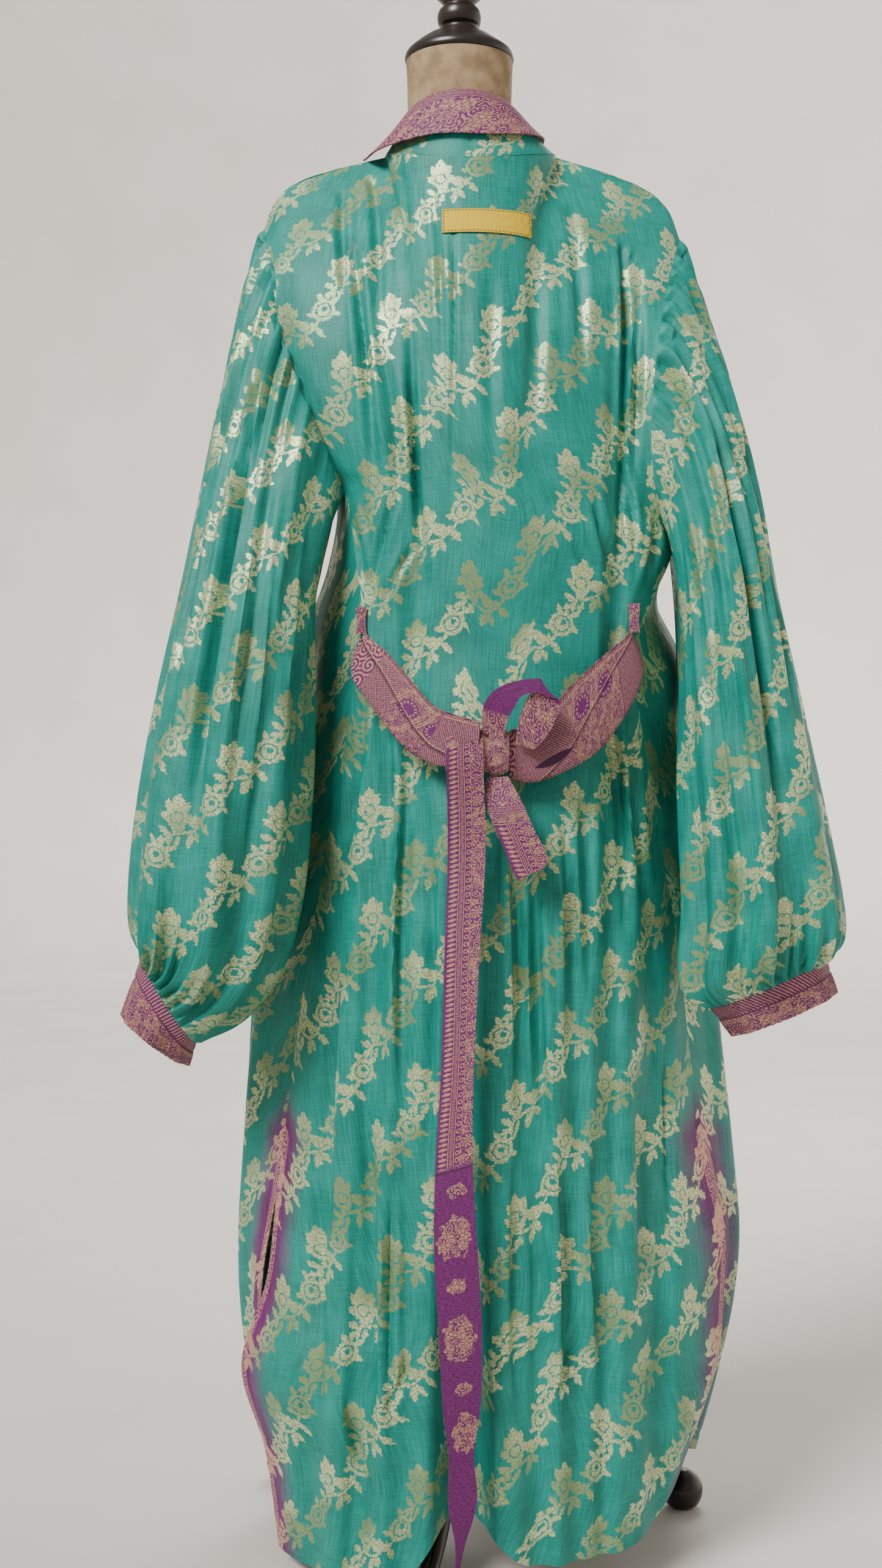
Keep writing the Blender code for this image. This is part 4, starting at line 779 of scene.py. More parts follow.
def front_panel(back, side, front, armhole, sign):
    """Fine front panel, moved out along its plan normals at each soft fold."""
    base = front_base(back, side, front, armhole, sign)
    columns = steps(SHOULDER_COLUMNS, FRONT_STEPS)
    points = resample(base, ROW_AT, columns)
    share = columns[None, :] / SHOULDER_COLUMNS
    z = points[..., 2]
    depth = np.zeros_like(z)
    for centre, half, deep, z_top, z_full in FRONT_FOLDS:
        depth += deep * bump((share - centre) / half) * ramp((z_top - z) / (z_top - z_full))
    along = unit(np.gradient(points[..., :2], axis=1))
    outward = np.stack([along[..., 1], -along[..., 0]], axis=2) * sign
    points[..., :2] += outward * depth[..., None]
    return points


def collar_stand(back):
    """Stand from the back neckline up to an oval round the neck, straight in between."""
    first = SHOULDER_COLUMNS * BACK_STEPS
    count = NECK_COLUMNS * BACK_STEPS
    base = back[0, first:first + count + 1]
    angle = np.linspace(math.pi, 0.0, count + 1)
    dip = np.sin(angle)
    size = STAND_TOP
    top = np.stack([
        size["x"] + size["half_width"] * np.cos(angle),
        size["y_side"] + (size["y_back"] - size["y_side"]) * dip,
        size["z_side"] + (size["z_back"] - size["z_side"]) * dip,
    ], axis=1)
    rise = np.linspace(1.0, 0.0, 2 * STAND_STEPS + 1)[:, None, None]
    return base[None] * (1.0 - rise) + top[None] * rise


def front_band(front, stand, sign):
    """Strip from the front edge inwards: upright beside the neck, turned flat further down."""
    edge = front[:, -1]
    drop = np.clip((NECK_POINT[2] - edge[:, 2]) / BAND_TURN, 0.0, 1.0)
    lie = ramp(drop)[:, None]
    end = -1 if sign > 0 else 0
    rising = stand[0, end] - stand[-1, end]
    flat = np.array([-sign * BAND_WIDTH, BAND_LIFT, 0.0])
    free = edge + (1.0 - lie) * rising + lie * flat
    free[:, 1] += BAND_BOW * np.sin(math.pi * drop)
    t = np.linspace(0.0, 1.0, BAND_STEPS + 1)[None, :, None]
    return edge[:, None] * (1 - t) + free[:, None] * t


def collar_fall(stand):
    """Turned-over collar: inside the stand's top, over it and down to its own lower edge."""
    share = np.linspace(0.0, 1.0, stand.shape[1])
    edge = spline(FALL_EDGE, share)
    low = stand[-1]
    rise = stand[0] - low
    out = grid_normals(stand)[STAND_STEPS]
    length = np.linalg.norm(rise, axis=1, keepdims=True)
    rows = [low + rise * (part + lift / length) + out * away for part, lift, away in FALL_TOP]
    start = FALL_TOP[-1][2]
    for part in (0.5, 1.0):
        h = 1.0 + (edge[:, 0] - 1.0) * part
        away = start + (edge[:, 1] - start) * part
        rows.append(low + rise * h[:, None] + out * away[:, None])
    return through(np.stack(rows), steps(len(rows) - 1, FALL_STEPS))


def ovals(table, count):
    """Flat oval for each table row: outer x, y, z, inner x, y, z, half depth."""
    angle = ring_angles(count)[:, None]
    middle = 0.5 * (table[:, None, 0:3] + table[:, None, 3:6])
    reach = 0.5 * (table[:, None, 0:3] - table[:, None, 3:6])
    depth = table[:, None, 6:7] * DEPTHWARDS
    return middle + np.cos(angle) * reach - np.sin(angle) * depth


def sleeve_surface(table, back, front, sign):
    """Sleeve as rings from the armhole to the cuff, without gathers.

    Each ring is an oval between the outer and the inner outline, blended into the armhole."""
    count = SLEEVE_COLUMNS
    column = 0 if sign < 0 else -1
    down = back[:SEAM_ROWS + 1, column]
    up = front[:SEAM_ROWS + 1, 0][::-1]
    seam = np.concatenate([down, up[1:-1]])
    loop = seam[::SLEEVE_STEPS]
    share = table[:, 7][:, None, None]
    coarse = np.concatenate([loop[None], share * loop[None] + (1.0 - share) * ovals(table, count)])
    fine = resample(coarse, steps(len(table), RING_STEPS), steps(count, SLEEVE_STEPS)[:-1], True)
    fade = (1.0 - ramp(np.arange(len(fine)) / RING_STEPS))[:, None, None]
    return fine + fade * (seam - fine[0])


def sleeve_waves(table, fine):
    """Outward distance of the broad gathers: cosines round the ring, strong at head and cuff."""
    rings = len(fine)
    angle = ring_angles(fine.shape[1])
    at = steps(len(table), RING_STEPS)
    head = through(HEAD_GATHER, at)[:rings, None]
    cuff = through(CUFF_GATHER, at)[:rings, None]
    return (HEAD_DEPTH * head * np.cos(HEAD_WAVES * angle + HEAD_UNEVEN * np.sin(angle))
            + CUFF_DEPTH * cuff * np.cos(CUFF_WAVES * angle + CUFF_UNEVEN * np.cos(2 * angle)))


# Creases: each is a soft trough or ridge along a slightly bowed line

BACK_STRENGTH = 2.5
FRONT_STRENGTH = 2.4
SLEEVE_STRENGTH = 2.5
GATHER_STRENGTH = 1.5
# Height past which the back lies on the form, where its creases only go outwards
SHOULDER_REST = 1.335
# Share of the turn past which a sleeve faces the body, where creases only go inwards
SLEEVE_FACING = 0.22
# Length round a sleeve that its creases and pattern are laid out on
SLEEVE_ROUND = 0.52
# Slit edges: how distances shrink on the right, so that its shading is wider, and grow above
RIGHT_SLIT_SCALE = 0.62
ABOVE_SLIT_SCALE = 0.8
# Height over which the back comes to rest, share of the turn over which a sleeve comes to face
SHOULDER_BLEND = 0.02
FACING_BLEND = 0.10
# Share of a crease over which it gains its depth, and over which it loses it again
CREASE_GAIN = 0.35
CREASE_LOSS = 0.55
# Share by which a crease that starts at its full depth reaches past its first end
CREASE_MARGIN = 0.02
# Low ridge beside a crease or gather: share of the depth; distance and half width in half widths
CREASE_RIDGE = 0.30
GATHER_RIDGE = 0.35
RIDGE_AWAY = 1.35
RIDGE_HALF = 0.95
# A gather's depth fades by this power of what is left of its reach, and it gets this much wider
GATHER_POWER = 0.7
GATHER_SPREAD = 0.8
PUCKER_FALL = 0.006
# Size of the slow swell of panels and sleeves
PANEL_RIPPLE = 0.0010
SLEEVE_RIPPLE = 0.0008
# Sewn lines: half width, depth
HEM_GROOVE = (0.0030, 0.0008)
COLLAR_GROOVE = (0.0022, 0.0012)
# Height of the stitches above the collar stand's lower edge
STAND_STITCH = 0.002
# Columns, and lengths at a sleeve's head and cuff, over which creases fade out at a seam
SEAM_COLUMNS = 6.0
HEAD_SEAM = 0.006
CUFF_SEAM = 0.004


def trough(wide, ridge):
    """Soft trough, with a low ridge on both sides of it."""
    return bump(wide) - ridge * bump((np.abs(wide) - RIDGE_AWAY) / RIDGE_HALF)


def strokes(across, down, table):
    """Depth of a table of creases at each point of the plane across, down.

    A row holds the line's two ends, its bow, its half width, its depth, and how much of the
    depth it has at its first end. Beside its trough the cloth rises a little."""
    depth = np.zeros_like(across)
    for x0, z0, x1, z1, bow, half, deep, start in table:
        step = np.array([x1 - x0, z1 - z0])
        reach = np.hypot(*step)
        along = ((across - x0) * step[0] + (down - z0) * step[1]) / reach ** 2
        side = ((across - x0) * step[1] - (down - z0) * step[0]) / reach
        side = side + bow * 4.0 * along * (1.0 - along)
        gained = start + (1.0 - start) * ramp(along / CREASE_GAIN)
        strength = gained * ramp((1.0 - along) / CREASE_LOSS)
        strength = np.where((along < 0.0) & (start < 1.0), 0.0, strength)
        strength = np.where(along < -CREASE_MARGIN, 0.0, strength)
        depth += deep * strength * trough(side / half, CREASE_RIDGE)
    return depth


# Back panel: x, z at one end, x, z at the other, bow, half width, depth, share at the first end
BACK_CREASES = np.array([
    [0.152, 1.31, 0.137, 0.945, 0.004, 0.0055, 0.004, 0.5],
    [0.168, 1.29, 0.15, 1.000, 0.003, 0.007, 0.0026, 0.4],
    [-0.06, 1.22, -0.043, 0.93, -0.003, 0.006, 0.0034, 0.2],
    [-0.118, 1.3, -0.094, 1.02, 0.004, 0.007, 0.0034, 0.5],
    [-0.04, 1.37, -0.03, 1.13, 0.004, 0.0045, 0.0012, 0.3],
    [-0.1, 1.385, -0.092, 1.2, 0.004, 0.008, 0.0022, 0.6],
    [-0.13, 1.37, -0.118, 1.23, -0.004, 0.007, 0.002, 0.6],
    [-0.07, 1.38, -0.064, 1.28, 0.002, 0.006, 0.0012, 0.8],
    [-0.018, 1.372, -0.022, 1.000, 0.002, 0.0035, 0.001, 0.3],
    [0.022, 1.3, 0.026, 1.02, -0.006, 0.011, 0.0016, 0.0],
    [0.062, 1.33, 0.05, 1.06, 0.006, 0.012, 0.002, 0.0],
    [0.1, 1.35, 0.104, 1.12, 0.005, 0.009, 0.0018, 0.4],
    [0.16, 1.3, 0.166, 1.12, -0.006, 0.008, 0.0022, 0.5],
    [-0.088, 1.2, -0.072, 0.99, 0.006, 0.008, 0.0026, 0.0],
    [-0.128, 1.06, -0.104, 0.945, 0.004, 0.006, 0.003, 0.2],
    [-0.15, 1.12, -0.112, 0.95, 0.008, 0.006, 0.0026, 0.2],
    [-0.07, 1.06, -0.098, 0.945, -0.004, 0.0055, 0.0022, 0.0],
    [-0.048, 1.01, -0.09, 0.93, -0.005, 0.005, 0.0016, 0.0],
    [0.118, 1.06, 0.15, 0.95, -0.006, 0.006, 0.0026, 0.0],
    [0.148, 1.08, 0.158, 0.95, 0.004, 0.005, 0.0026, 0.1],
    [0.182, 1.04, 0.164, 0.948, 0.004, 0.0055, 0.003, 0.2],
    [0.094, 1.01, 0.144, 0.935, -0.006, 0.005, 0.0016, 0.0],
    [-0.108, 0.91, -0.14, 0.64, 0.01, 0.008, 0.0034, 0.8],
    [-0.112, 0.9, -0.118, 0.7, -0.006, 0.007, 0.003, 0.8],
    [-0.09, 0.88, -0.088, 0.56, 0.008, 0.009, 0.003, 0.2],
    [-0.06, 0.8, -0.064, 0.43, -0.006, 0.008, 0.0034, 0.0],
    [-0.042, 0.76, -0.05, 0.3, 0.005, 0.008, 0.0036, 0.0],
    [-0.13, 0.62, -0.14, 0.24, -0.006, 0.009, 0.0034, 0.0],
    [-0.104, 0.48, -0.098, 0.12, 0.006, 0.008, 0.003, 0.0],
    [-0.075, 0.42, -0.074, 0.1, -0.005, 0.007, 0.0032, 0.0],
    [-0.156, 0.42, -0.15, 0.11, 0.006, 0.007, 0.0026, 0.0],
    [0.036, 0.76, 0.042, 0.42, 0.005, 0.008, 0.0036, 0.1],
    [0.06, 0.72, 0.074, 0.38, -0.006, 0.008, 0.0034, 0.0],
    [0.086, 0.76, 0.09, 0.48, 0.005, 0.007, 0.003, 0.0],
    [0.11, 0.8, 0.12, 0.52, -0.006, 0.009, 0.0034, 0.0],
    [0.134, 0.84, 0.148, 0.56, 0.006, 0.008, 0.0032, 0.2],
    [0.158, 0.9, 0.172, 0.62, -0.006, 0.007, 0.0034, 0.8],
    [0.164, 0.905, 0.196, 0.7, 0.008, 0.006, 0.003, 0.8],
    [0.044, 0.44, 0.046, 0.12, -0.005, 0.008, 0.0034, 0.0],
    [0.082, 0.46, 0.086, 0.14, 0.006, 0.008, 0.0036, 0.0],
    [0.118, 0.48, 0.13, 0.16, -0.006, 0.008, 0.003, 0.0],
    [0.16, 0.52, 0.158, 0.2, 0.006, 0.009, 0.0034, 0.0],
    [0.196, 0.56, 0.2, 0.24, -0.006, 0.007, 0.003, 0.0],
    [-0.06, 0.24, -0.09, 0.17, 0.006, 0.006, 0.0022, 0.0],
    [-0.12, 0.2, -0.09, 0.08, -0.005, 0.006, 0.002, 0.0],
    [0.1, 0.26, 0.07, 0.18, 0.005, 0.006, 0.0022, 0.0],
])

# Pucker along the side seams below the hips: height of each small pleat, length, half width, depth
SEAM_PUCKER = np.array([
    [0.793, 0.03, 0.003, 0.0022], [0.773, 0.022, 0.0026, 0.0018], [0.757, 0.034, 0.003, 0.0026],
    [0.739, 0.026, 0.0026, 0.002], [0.72, 0.038, 0.0032, 0.0028], [0.699, 0.024, 0.0026, 0.002],
    [0.681, 0.034, 0.003, 0.0024], [0.657, 0.026, 0.0026, 0.002], [0.633, 0.03, 0.003, 0.0022],
    [0.603, 0.024, 0.0028, 0.0018], [0.574, 0.034, 0.003, 0.0022], [0.536, 0.026, 0.0028, 0.0018],
])


# Front panels: distance from the front edge, z at both ends, bow, half width, depth, first share
FRONT_CREASES = np.array([
    [0.03, 1.34, 0.036, 1.06, 0.006, 0.009, 0.0022, 0.4],
    [0.07, 1.33, 0.066, 1.12, -0.006, 0.008, 0.002, 0.5],
    [0.11, 1.28, 0.1, 1.02, 0.006, 0.01, 0.0026, 0.3],
    [0.048, 0.98, 0.052, 0.62, 0.006, 0.009, 0.003, 0.0],
    [0.086, 0.9, 0.092, 0.52, -0.008, 0.01, 0.0034, 0.0],
    [0.13, 0.98, 0.14, 0.56, 0.008, 0.01, 0.0034, 0.0],
    [0.172, 0.9, 0.18, 0.48, -0.006, 0.009, 0.0032, 0.0],
    [0.21, 0.84, 0.216, 0.44, 0.008, 0.009, 0.0034, 0.0],
    [0.036, 0.56, 0.04, 0.18, -0.005, 0.008, 0.003, 0.0],
    [0.078, 0.5, 0.074, 0.14, 0.006, 0.009, 0.0032, 0.0],
    [0.118, 0.52, 0.122, 0.16, -0.006, 0.008, 0.0034, 0.0],
    [0.16, 0.47, 0.158, 0.13, 0.006, 0.009, 0.003, 0.0],
    [0.24, 0.43, 0.236, 0.15, -0.006, 0.008, 0.003, 0.0],
])

# Sleeves: turn round the sleeve from its outer edge, distance down it, twice, then as above
SLEEVE_CREASES = np.array([
    [-0.2, 0.02, -0.185, 0.33, 0.006, 0.01, 0.0042, 0.3],
    [-0.105, 0.01, -0.11, 0.26, -0.006, 0.009, 0.0036, 0.4],
    [0.02, 0.01, 0.015, 0.2, 0.006, 0.009, 0.0034, 0.5],
    [0.06, 0.02, 0.085, 0.42, -0.008, 0.009, 0.0046, 0.3],
    [0.125, 0.06, 0.14, 0.52, 0.01, 0.01, 0.006, 0.2],
    [0.175, 0.015, 0.19, 0.33, -0.008, 0.008, 0.0042, 0.4],
    [0.215, 0.12, 0.22, 0.56, 0.008, 0.011, 0.0062, 0.1],
    [0.265, 0.06, 0.262, 0.48, -0.01, 0.01, 0.005, 0.1],
    [0.305, 0.15, 0.3, 0.6, 0.008, 0.01, 0.006, 0.1],
    [0.35, 0.04, 0.345, 0.42, -0.006, 0.009, 0.0048, 0.2],
    [0.4, 0.18, 0.395, 0.58, 0.008, 0.01, 0.0052, 0.0],
    [0.45, 0.08, 0.455, 0.46, -0.006, 0.009, 0.004, 0.0],
    [-0.27, 0.06, -0.262, 0.48, -0.008, 0.01, 0.005, 0.1],
    [-0.33, 0.15, -0.325, 0.56, 0.008, 0.01, 0.0056, 0.1],
    [-0.4, 0.08, -0.395, 0.46, -0.008, 0.01, 0.0048, 0.0],
    [-0.055, 0.25, -0.06, 0.54, 0.006, 0.009, 0.004, 0.0],
    [-0.15, 0.28, -0.158, 0.6, -0.006, 0.01, 0.005, 0.0],
])
# Gathers at the cuff: turn, reach up the sleeve, half width, depth
CUFF_GATHERS = np.array([
    [-0.475, 0.11, 0.006, 0.0034], [-0.43, 0.07, 0.005, 0.0026], [-0.385, 0.13, 0.006, 0.0038],
    [-0.34, 0.08, 0.005, 0.0028], [-0.3, 0.12, 0.006, 0.0036], [-0.255, 0.07, 0.005, 0.0026],
    [-0.215, 0.14, 0.006, 0.004], [-0.17, 0.08, 0.005, 0.003], [-0.128, 0.11, 0.006, 0.0036],
    [-0.085, 0.06, 0.005, 0.0026], [-0.045, 0.12, 0.006, 0.0036], [-0.005, 0.08, 0.005, 0.003],
    [0.035, 0.13, 0.006, 0.004], [0.072, 0.07, 0.005, 0.003], [0.108, 0.17, 0.0065, 0.0048],
    [0.14, 0.09, 0.005, 0.0034], [0.172, 0.15, 0.006, 0.0046], [0.205, 0.08, 0.005, 0.0032],
    [0.236, 0.19, 0.0065, 0.005], [0.27, 0.1, 0.005, 0.0034], [0.302, 0.16, 0.0065, 0.0048],
    [0.336, 0.08, 0.005, 0.0032], [0.372, 0.14, 0.006, 0.0042], [0.412, 0.08, 0.005, 0.003],
    [0.45, 0.12, 0.006, 0.0036], [0.488, 0.07, 0.005, 0.0026],
])
# Gathers at the sleeve head: turn, reach down the sleeve, half width, depth
HEAD_GATHERS = np.array([
    [-0.23, 0.06, 0.005, 0.002], [-0.19, 0.1, 0.0055, 0.0028], [-0.15, 0.07, 0.005, 0.0024],
    [-0.112, 0.12, 0.0055, 0.003], [-0.076, 0.08, 0.005, 0.0026], [-0.042, 0.11, 0.0055, 0.003],
    [-0.01, 0.07, 0.005, 0.0026], [0.022, 0.13, 0.0055, 0.0032], [0.054, 0.08, 0.005, 0.0026],
    [0.086, 0.14, 0.006, 0.0036], [0.12, 0.09, 0.005, 0.0028], [0.156, 0.16, 0.006, 0.0038],
    [0.192, 0.1, 0.005, 0.003], [0.226, 0.18, 0.006, 0.004], [0.262, 0.11, 0.005, 0.003],
    [0.298, 0.15, 0.006, 0.0036], [0.336, 0.09, 0.005, 0.0028], [0.38, 0.11, 0.0055, 0.0026],
])


def gathers(turn, distance, around, table):
    """Depth of short pleats that start full at a seam and fade out along the cloth."""
    depth = np.zeros_like(distance)
    for centre, reach, half, deep in table:
        side = (turn - centre) * around
        side = side - around * np.round(side / around)
        strength = ramp(1.0 - distance / reach) ** GATHER_POWER
        wide = side / (half * (1.0 + GATHER_SPREAD * distance / reach))
        depth += deep * strength * trough(wide, GATHER_RIDGE)
    return depth


def ripple(across, down, size, seed):
    """Slow uneven swell of the cloth: a sum of three slanted sines."""
    first = np.sin(across * 61.0 + down * 7.0 + seed)
    second = np.sin(across * 97.0 - down * 11.0 + 2.1 * seed)
    third = np.sin(across * 31.0 + down * 17.0 + 0.7 * seed)
    return size * (0.45 * first + 0.3 * second + 0.4 * third)


def puckers(away, height):
    """Short level pleats that start at a side seam and run slightly downwards from it."""
    z, length, half, deep = SEAM_PUCKER.T
    zero = 0.0 * z
    lines = np.column_stack([zero, z, length, z - PUCKER_FALL, zero, half, deep, 1.0 + zero])
    return strokes(away, height, lines)


def groove(distance, at, half, deep):
    """Depth of a sewn or pulled-in line that lies at a given distance from an edge."""
    return deep * bump((distance - at) / half)


# Materials

class Value:
    """A number that varies over a surface: one output of a material's nodes, with arithmetic."""

    def __init__(self, tree, socket):
        self.tree = tree
        self.socket = socket

    def join(self, operation, *others, clamp=False):
        node = self.tree.nodes.new("ShaderNodeMath")
        node.operation = operation
        node.use_clamp = clamp
        for slot, item in enumerate((self, *others)):
            if isinstance(item, Value):
                self.tree.links.new(item.socket, node.inputs[slot])
            else:
                node.inputs[slot].default_value = item
        return Value(self.tree, node.outputs[0])

    def __add__(self, other):
        return self.join("ADD", other)

    def __sub__(self, other):
        return self.join("SUBTRACT", other)

    def __mul__(self, other):
        return self.join("MULTIPLY", other)

    def less(self, other):
        return self.join("MINIMUM", other)

    def more(self, other):
        return self.join("MAXIMUM", other)

    def size(self):
        return self.join("ABSOLUTE")

    def wave(self, length):
        """Sine that repeats after the given length."""
        return (self * (2.0 * math.pi / length)).join("SINE")

    def line(self, centre, half):
        """One on a line at the centre value, zero past half its width."""
        return (self - centre).size().step_down(0.7 * half, 1.3 * half)

    def band(self, low, high):
        """One between two values, with soft ends."""
        return self.step_up(low - 0.06, low + 0.06) * self.step_down(high - 0.06, high + 0.06)

    def step(self, low, high, first, last):
        """The first value below low, the last one above high and smooth in between."""
        node = self.tree.nodes.new("ShaderNodeMapRange")
        node.interpolation_type = "SMOOTHSTEP"
        self.tree.links.new(self.socket, node.inputs[0])
        for slot, value in enumerate((low, high, first, last), 1):
            node.inputs[slot].default_value = value
        return Value(self.tree, node.outputs[0])

    def step_up(self, low, high):
        """Zero below low, one above high and smooth in between."""
        return self.step(low, high, 0.0, 1.0)

    def step_down(self, low, high):
        """One below low, zero above high and smooth in between."""
        return self.step(low, high, 1.0, 0.0)


class Weave:
    """The node tree of one material, with the few patterns that its cloth is made from."""

    def __init__(self, name):
        self.material = bpy.data.materials.new(name)
        self.material.use_nodes = True
        self.tree = self.material.node_tree
        self.shader = self.tree.nodes["Principled BSDF"]

    def node(self, kind, **settings):
        made = self.tree.nodes.new(kind)
        for key, value in settings.items():
            setattr(made, key, value)
        return made

    def link(self, source, target):
        self.tree.links.new(source, target)

    def uv(self, layer):
        return self.node("ShaderNodeUVMap", uv_map=layer).outputs[0]

    def object_place(self):
        return self.node("ShaderNodeTexCoord").outputs["Object"]

    def vector(self, operation, first, second=None, output=0):
        made = self.node("ShaderNodeVectorMath", operation=operation)
        for slot, item in enumerate((first, second)):
            if item is None:
                continue
            if isinstance(item, tuple):
                made.inputs[slot].default_value = item
            else:
                self.link(item, made.inputs[slot])
        return made.outputs[output]

    def axis(self, vector, weights):
        """Weighted sum of a vector's parts."""
        return Value(self.tree, self.vector("DOT_PRODUCT", vector, weights, output=1))

    def noise(self, vector, scale, detail=2.0, stretch=None):
        """Cloudy value round one half, drawn out by the stretch."""
        if stretch is not None:
            vector = self.vector("MULTIPLY", vector, stretch)
        made = self.node("ShaderNodeTexNoise", noise_dimensions="3D")
        self.link(vector, made.inputs["Vector"])
        made.inputs["Scale"].default_value = scale
        made.inputs["Detail"].default_value = detail
        return Value(self.tree, made.outputs[0])

    def placed(self, vector, centre, turn, wide, tall):
        """Coordinates inside a motif: moved to its centre, turned by degrees, in half sizes."""
        made = self.node("ShaderNodeMapping", vector_type="TEXTURE")
        self.link(vector, made.inputs["Vector"])
        made.inputs["Location"].default_value = (*centre, 0.0)
        made.inputs["Rotation"].default_value = (0.0, 0.0, math.radians(turn))
        made.inputs["Scale"].default_value = (wide, tall, 1.0)
        return made.outputs[0]

    def round_motif(self, vector, centre, turn, wide, tall):
        """Distance from the middle of an oval, one at its outline."""
        inside = self.placed(vector, centre, turn, wide, tall)
        return Value(self.tree, self.vector("LENGTH", inside, output=1))

    def leaf_motif(self, vector, centre, turn, wide, tall):
        """Pointed leaf: x squared plus the size of y, one at its outline."""
        inside = self.placed(vector, centre, turn, wide, tall)
        x = self.axis(inside, (1.0, 0.0, 0.0))
        y = self.axis(inside, (0.0, 1.0, 0.0))
        return x.join("MULTIPLY_ADD", x, y.size())

    def wrapped(self, vector, centre, cell, shift):
        """Coordinates in the nearest cell of a slanted lattice round a centre, in centimetres.

        The lattice repeats by the cell's width across, and by the shift and the cell's height."""
        wide, tall = cell
        start = self.vector("SUBTRACT", vector, (*centre, 0.0))
        row = self.axis(start, (0.0, 1.0 / tall, 0.0))
        column = self.axis(start, (1.0 / wide, -shift / tall / wide, 0.0))
        row = row.join("WRAP", 0.5, -0.5)
        column = column.join("WRAP", 0.5, -0.5)
        joined = self.node("ShaderNodeCombineXYZ")
        across = column * wide + row * shift + centre[0]
        upward = row * tall + centre[1]
        self.link(across.socket, joined.inputs[0])
        self.link(upward.socket, joined.inputs[1])
        return joined.outputs[0]

    def mixed(self, share, first, second):
        """Colour between two colours, each a tuple or a socket."""
        made = self.node("ShaderNodeMix", data_type="RGBA")
        if isinstance(share, Value):
            self.link(share.socket, made.inputs[0])
        else:
            made.inputs[0].default_value = share
        for slot, item in ((6, first), (7, second)):
            if isinstance(item, tuple):
                made.inputs[slot].default_value = (*item, 1.0)
            else:
                self.link(item, made.inputs[slot])
        return made.outputs[2]

    def polar(self, vector, centre):
        """Distance and angle of a place as seen from a centre."""
        x = self.axis(vector, (1.0, 0.0, 0.0)) - centre[0]
        y = self.axis(vector, (0.0, 1.0, 0.0)) - centre[1]
        return (x * x + y * y).join("SQRT"), y.join("ARCTAN2", x)

    def finish(self, colour, roughness, height=None, depth=0.001, metallic=None):
        """Wire colour, roughness, relief and metal share to the shader."""
        self.link(colour, self.shader.inputs["Base Color"])
        if isinstance(roughness, Value):
            self.link(roughness.socket, self.shader.inputs["Roughness"])
        else:
            self.shader.inputs["Roughness"].default_value = roughness
        if metallic is not None:
            self.link(metallic.socket, self.shader.inputs["Metallic"])
        if height is not None:
            raised = self.node("ShaderNodeBump")
            raised.inputs["Strength"].default_value = 1.0
            raised.inputs["Distance"].default_value = depth
            self.link(height.socket, raised.inputs["Height"])
            self.link(raised.outputs[0], self.shader.inputs["Normal"])
        return self.material


# Garland of the green brocade, in centimetres from the top of its bud: centre, turn, half sizes
GARLAND_CELL = (10.46, 5.35)
GARLAND_SHIFT = 5.23
GARLAND_START = (-1.33, 127.9)
BUD_LEAVES = [
    ((0.00, -0.72), 90.0, 0.85, 0.58),
    ((-0.62, -1.25), 118.0, 0.80, 0.48),
    ((0.62, -1.25), 62.0, 0.80, 0.48),
    ((-0.95, -2.20), 140.0, 0.60, 0.40),
    ((0.95, -2.20), 40.0, 0.60, 0.40),
]
BUD_ROUNDS = [((0.00, -2.15), 0.0, 1.02, 1.00)]
SPRAY_LEAVES = [
    ((-0.35, -3.90), 48.0, 1.30, 0.16),
    ((0.85, -3.52), 12.0, 1.15, 0.16),
    ((2.10, -3.10), 32.0, 1.20, 0.16),
    ((2.95, -2.20), 52.0, 0.95, 0.15),
    ((1.45, -4.30), -104.0, 0.80, 0.36),
    ((2.15, -3.95), -62.0, 0.66, 0.30),
    ((3.25, -3.10), -50.0, 0.78, 0.34),
    ((-0.95, -3.60), 150.0, 0.66, 0.32),
    ((-1.05, -4.45), 205.0, 0.55, 0.26),
    ((0.20, -4.40), -112.0, 0.62, 0.28),
    ((0.55, -2.95), 70.0, 0.60, 0.26),
    ((2.55, -2.45), 95.0, 0.55, 0.26),
    ((-0.10, -3.35), 112.0, 0.50, 0.26),
]
SPRAY_ROUNDS = [((1.70, -2.45), 0.0, 0.62, 0.58)]
ROSE_CENTRE = (3.70, -0.80)
ROSE_LEAVES = [
    ((4.15, 0.55), 62.0, 1.05, 0.15),
    ((4.85, 0.15), 25.0, 0.60, 0.30),
    ((3.35, 0.62), 122.0, 0.58, 0.28),
    ((4.95, -1.25), -28.0, 0.55, 0.26),
    ((4.70, 0.95), 80.0, 0.55, 0.26),
    ((2.45, -1.25), 165.0, 0.52, 0.26),
]


def least(values):
    """Smallest of several values."""
    total = values[0]
    for item in values[1:]:
        total = total.less(item)
    return total


